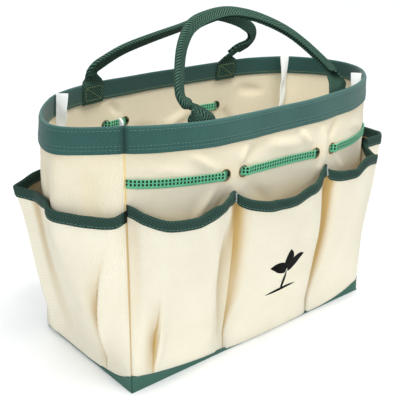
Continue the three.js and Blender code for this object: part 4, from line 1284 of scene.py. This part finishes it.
def strap_path(wall, sign, lean, path):
    """The webbing's middle line up one tab, round the loop and down the other, and the
    direction of its width at each point."""
    loop = through_points(path, 260)
    root_depth = abs(wall.at(path[0][0], RIM, TAB_OFFSET)[1])
    y = -root_depth + loop[:, 1] * math.sin(lean)
    z = ROOT_HEIGHT + loop[:, 1] * math.cos(lean)
    centre = np.stack([sign * loop[:, 0], sign * y, z], -1)
    flat_normal = np.array([0, -math.cos(lean) * sign, math.sin(lean)])
    across = unit(np.cross(unit(np.gradient(centre, axis=0)), flat_normal))
    tab_z = np.linspace(RIM - TAB_DEPTH, RIM - 0.5, TAB_STEPS)
    (start, start_right), (end, end_right) = (
        [np.array(v) for v in list(zip(*(wall.frame_at(x, z, TAB_OFFSET) for z in tab_z)))[:2]]
        for x in (path[0][0], path[-1][0]))
    # At the roots the strap's width runs along the wall; further on it is square to the path.
    reach = lengths_along(centre)
    w0, w1 = ((1 - ease(v, 8, 24))[:, None] for v in (reach, reach[-1] - reach))
    across = unit(across * (1 - w0 - w1) + start_right[-1] * w0 - end_right[-1] * w1)
    points = np.concatenate([start, centre[2:-2], end[::-1]])
    widths = np.concatenate([start_right, across[2:-2], -end_right[::-1]])
    # Soften the bend where the strap leaves the rim.
    for _ in range(6):
        points[10:20] = (points[9:19] + 2 * points[10:20] + points[11:21]) / 4
        points[-20:-10] = (points[-21:-11] + 2 * points[-20:-10] + points[-19:-9]) / 4
        widths[4:-4] = unit((widths[3:-5] + 2 * widths[4:-4] + widths[5:-3]) / 4)
    return points, widths


def handle(side, lean, fold, twist, path):
    wall, sign = (WALLS[side], 1 if side == "front" else -1)
    lean = math.radians(lean)
    points, widths = strap_path(wall, sign, lean, path)
    tangent = unit(np.gradient(points, axis=0))
    reach = lengths_along(points)
    total = reach[-1]
    root = np.minimum(reach, total - reach) - TAB_DEPTH
    # Near a root the width stays along the wall, although the strap leans away.
    square = ease(root, 8, 26)[:, None]
    widths = unit(widths - square * tangent * np.sum(widths * tangent, -1, keepdims=True))
    normals = unit(np.cross(widths, tangent))
    shares, degrees = zip(*twist)
    turn_by = np.radians(smooth_curve(shares, degrees, reach / total)) * ease(root, 10, 32)
    c, s = np.cos(turn_by)[:, None], np.sin(turn_by)[:, None]
    widths, normals = widths * c + normals * s, normals * c - widths * s
    rings, uvs = [], []
    for n, bend in enumerate(PI * ease(root, *fold)):
        across, outline = strap_ring(bend)
        rings.append(points[n] + outline[:, :1] * widths[n] + outline[:, 1:] * normals[n])
        uvs.append(pairs(across + 20, reach[n]))
    strap = tube(f"handle_{side}", np.array(rings), np.array(uvs), webbing, "webbing",
                 body=None, sharp=60)
    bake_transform(strap)
    first, last = ("left", "right") if side == "front" else ("right", "left")
    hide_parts(f"handle_{side}_loop", f"handle_{side}_tab_{first}",
                f"handle_{side}_tab_{last}")


def tab_box(side, x):
    """The stitches on a tab's inner face: a box and one diagonal."""
    left, right = x - BOX_HALF, x + BOX_HALF
    corners = [(left, BOX_FOOT), (right, BOX_FOOT), (right, BOX_HEAD), (left, BOX_HEAD),
               (left, BOX_FOOT), (right, BOX_HEAD)]
    t = np.linspace(0, 1, 24)
    rows = []
    for (xa, za), (xb, zb) in zip(corners, corners[1:]):
        line, away = (WALLS[side].at(lerp(xa, xb, t), lerp(za, zb, t), TAB_OFFSET - STRAP / 2 - d)
                      for d in (0.03, 1.03))
        rows.append(stitch_row(line, away - line, 2.3, 0.9, 0.24))
    return rows


tab_rows = []
for side, shape in HANDLES.items():
    handle(side, **shape)
    for x, _ in (shape["path"][0], shape["path"][-1]):
        tab_rows += tab_box(side, x)
stitches("tab_stitches", tab_rows, moss_thread, "webbing")


# ---- Floor ---------------------------------------------------------------------------

FLOOR_HALF, FLOOR_DROP = 3.2, 0.05


def make_floor():
    grid = np.linspace(-FLOOR_HALF, FLOOR_HALF, 9) / MM
    fx, fy = np.meshgrid(grid, grid, indexing="ij")
    points = np.stack([fx, fy, np.full_like(fx, -FLOOR_DROP)], -1).reshape(-1, 3) * MM
    mesh = bpy.data.meshes.new("floor")
    mesh.from_pydata(points.tolist(), [], grid_faces(9, 9).tolist())
    mesh.materials.append(floor_material())
    place_in_scene("floor", mesh)


make_floor()
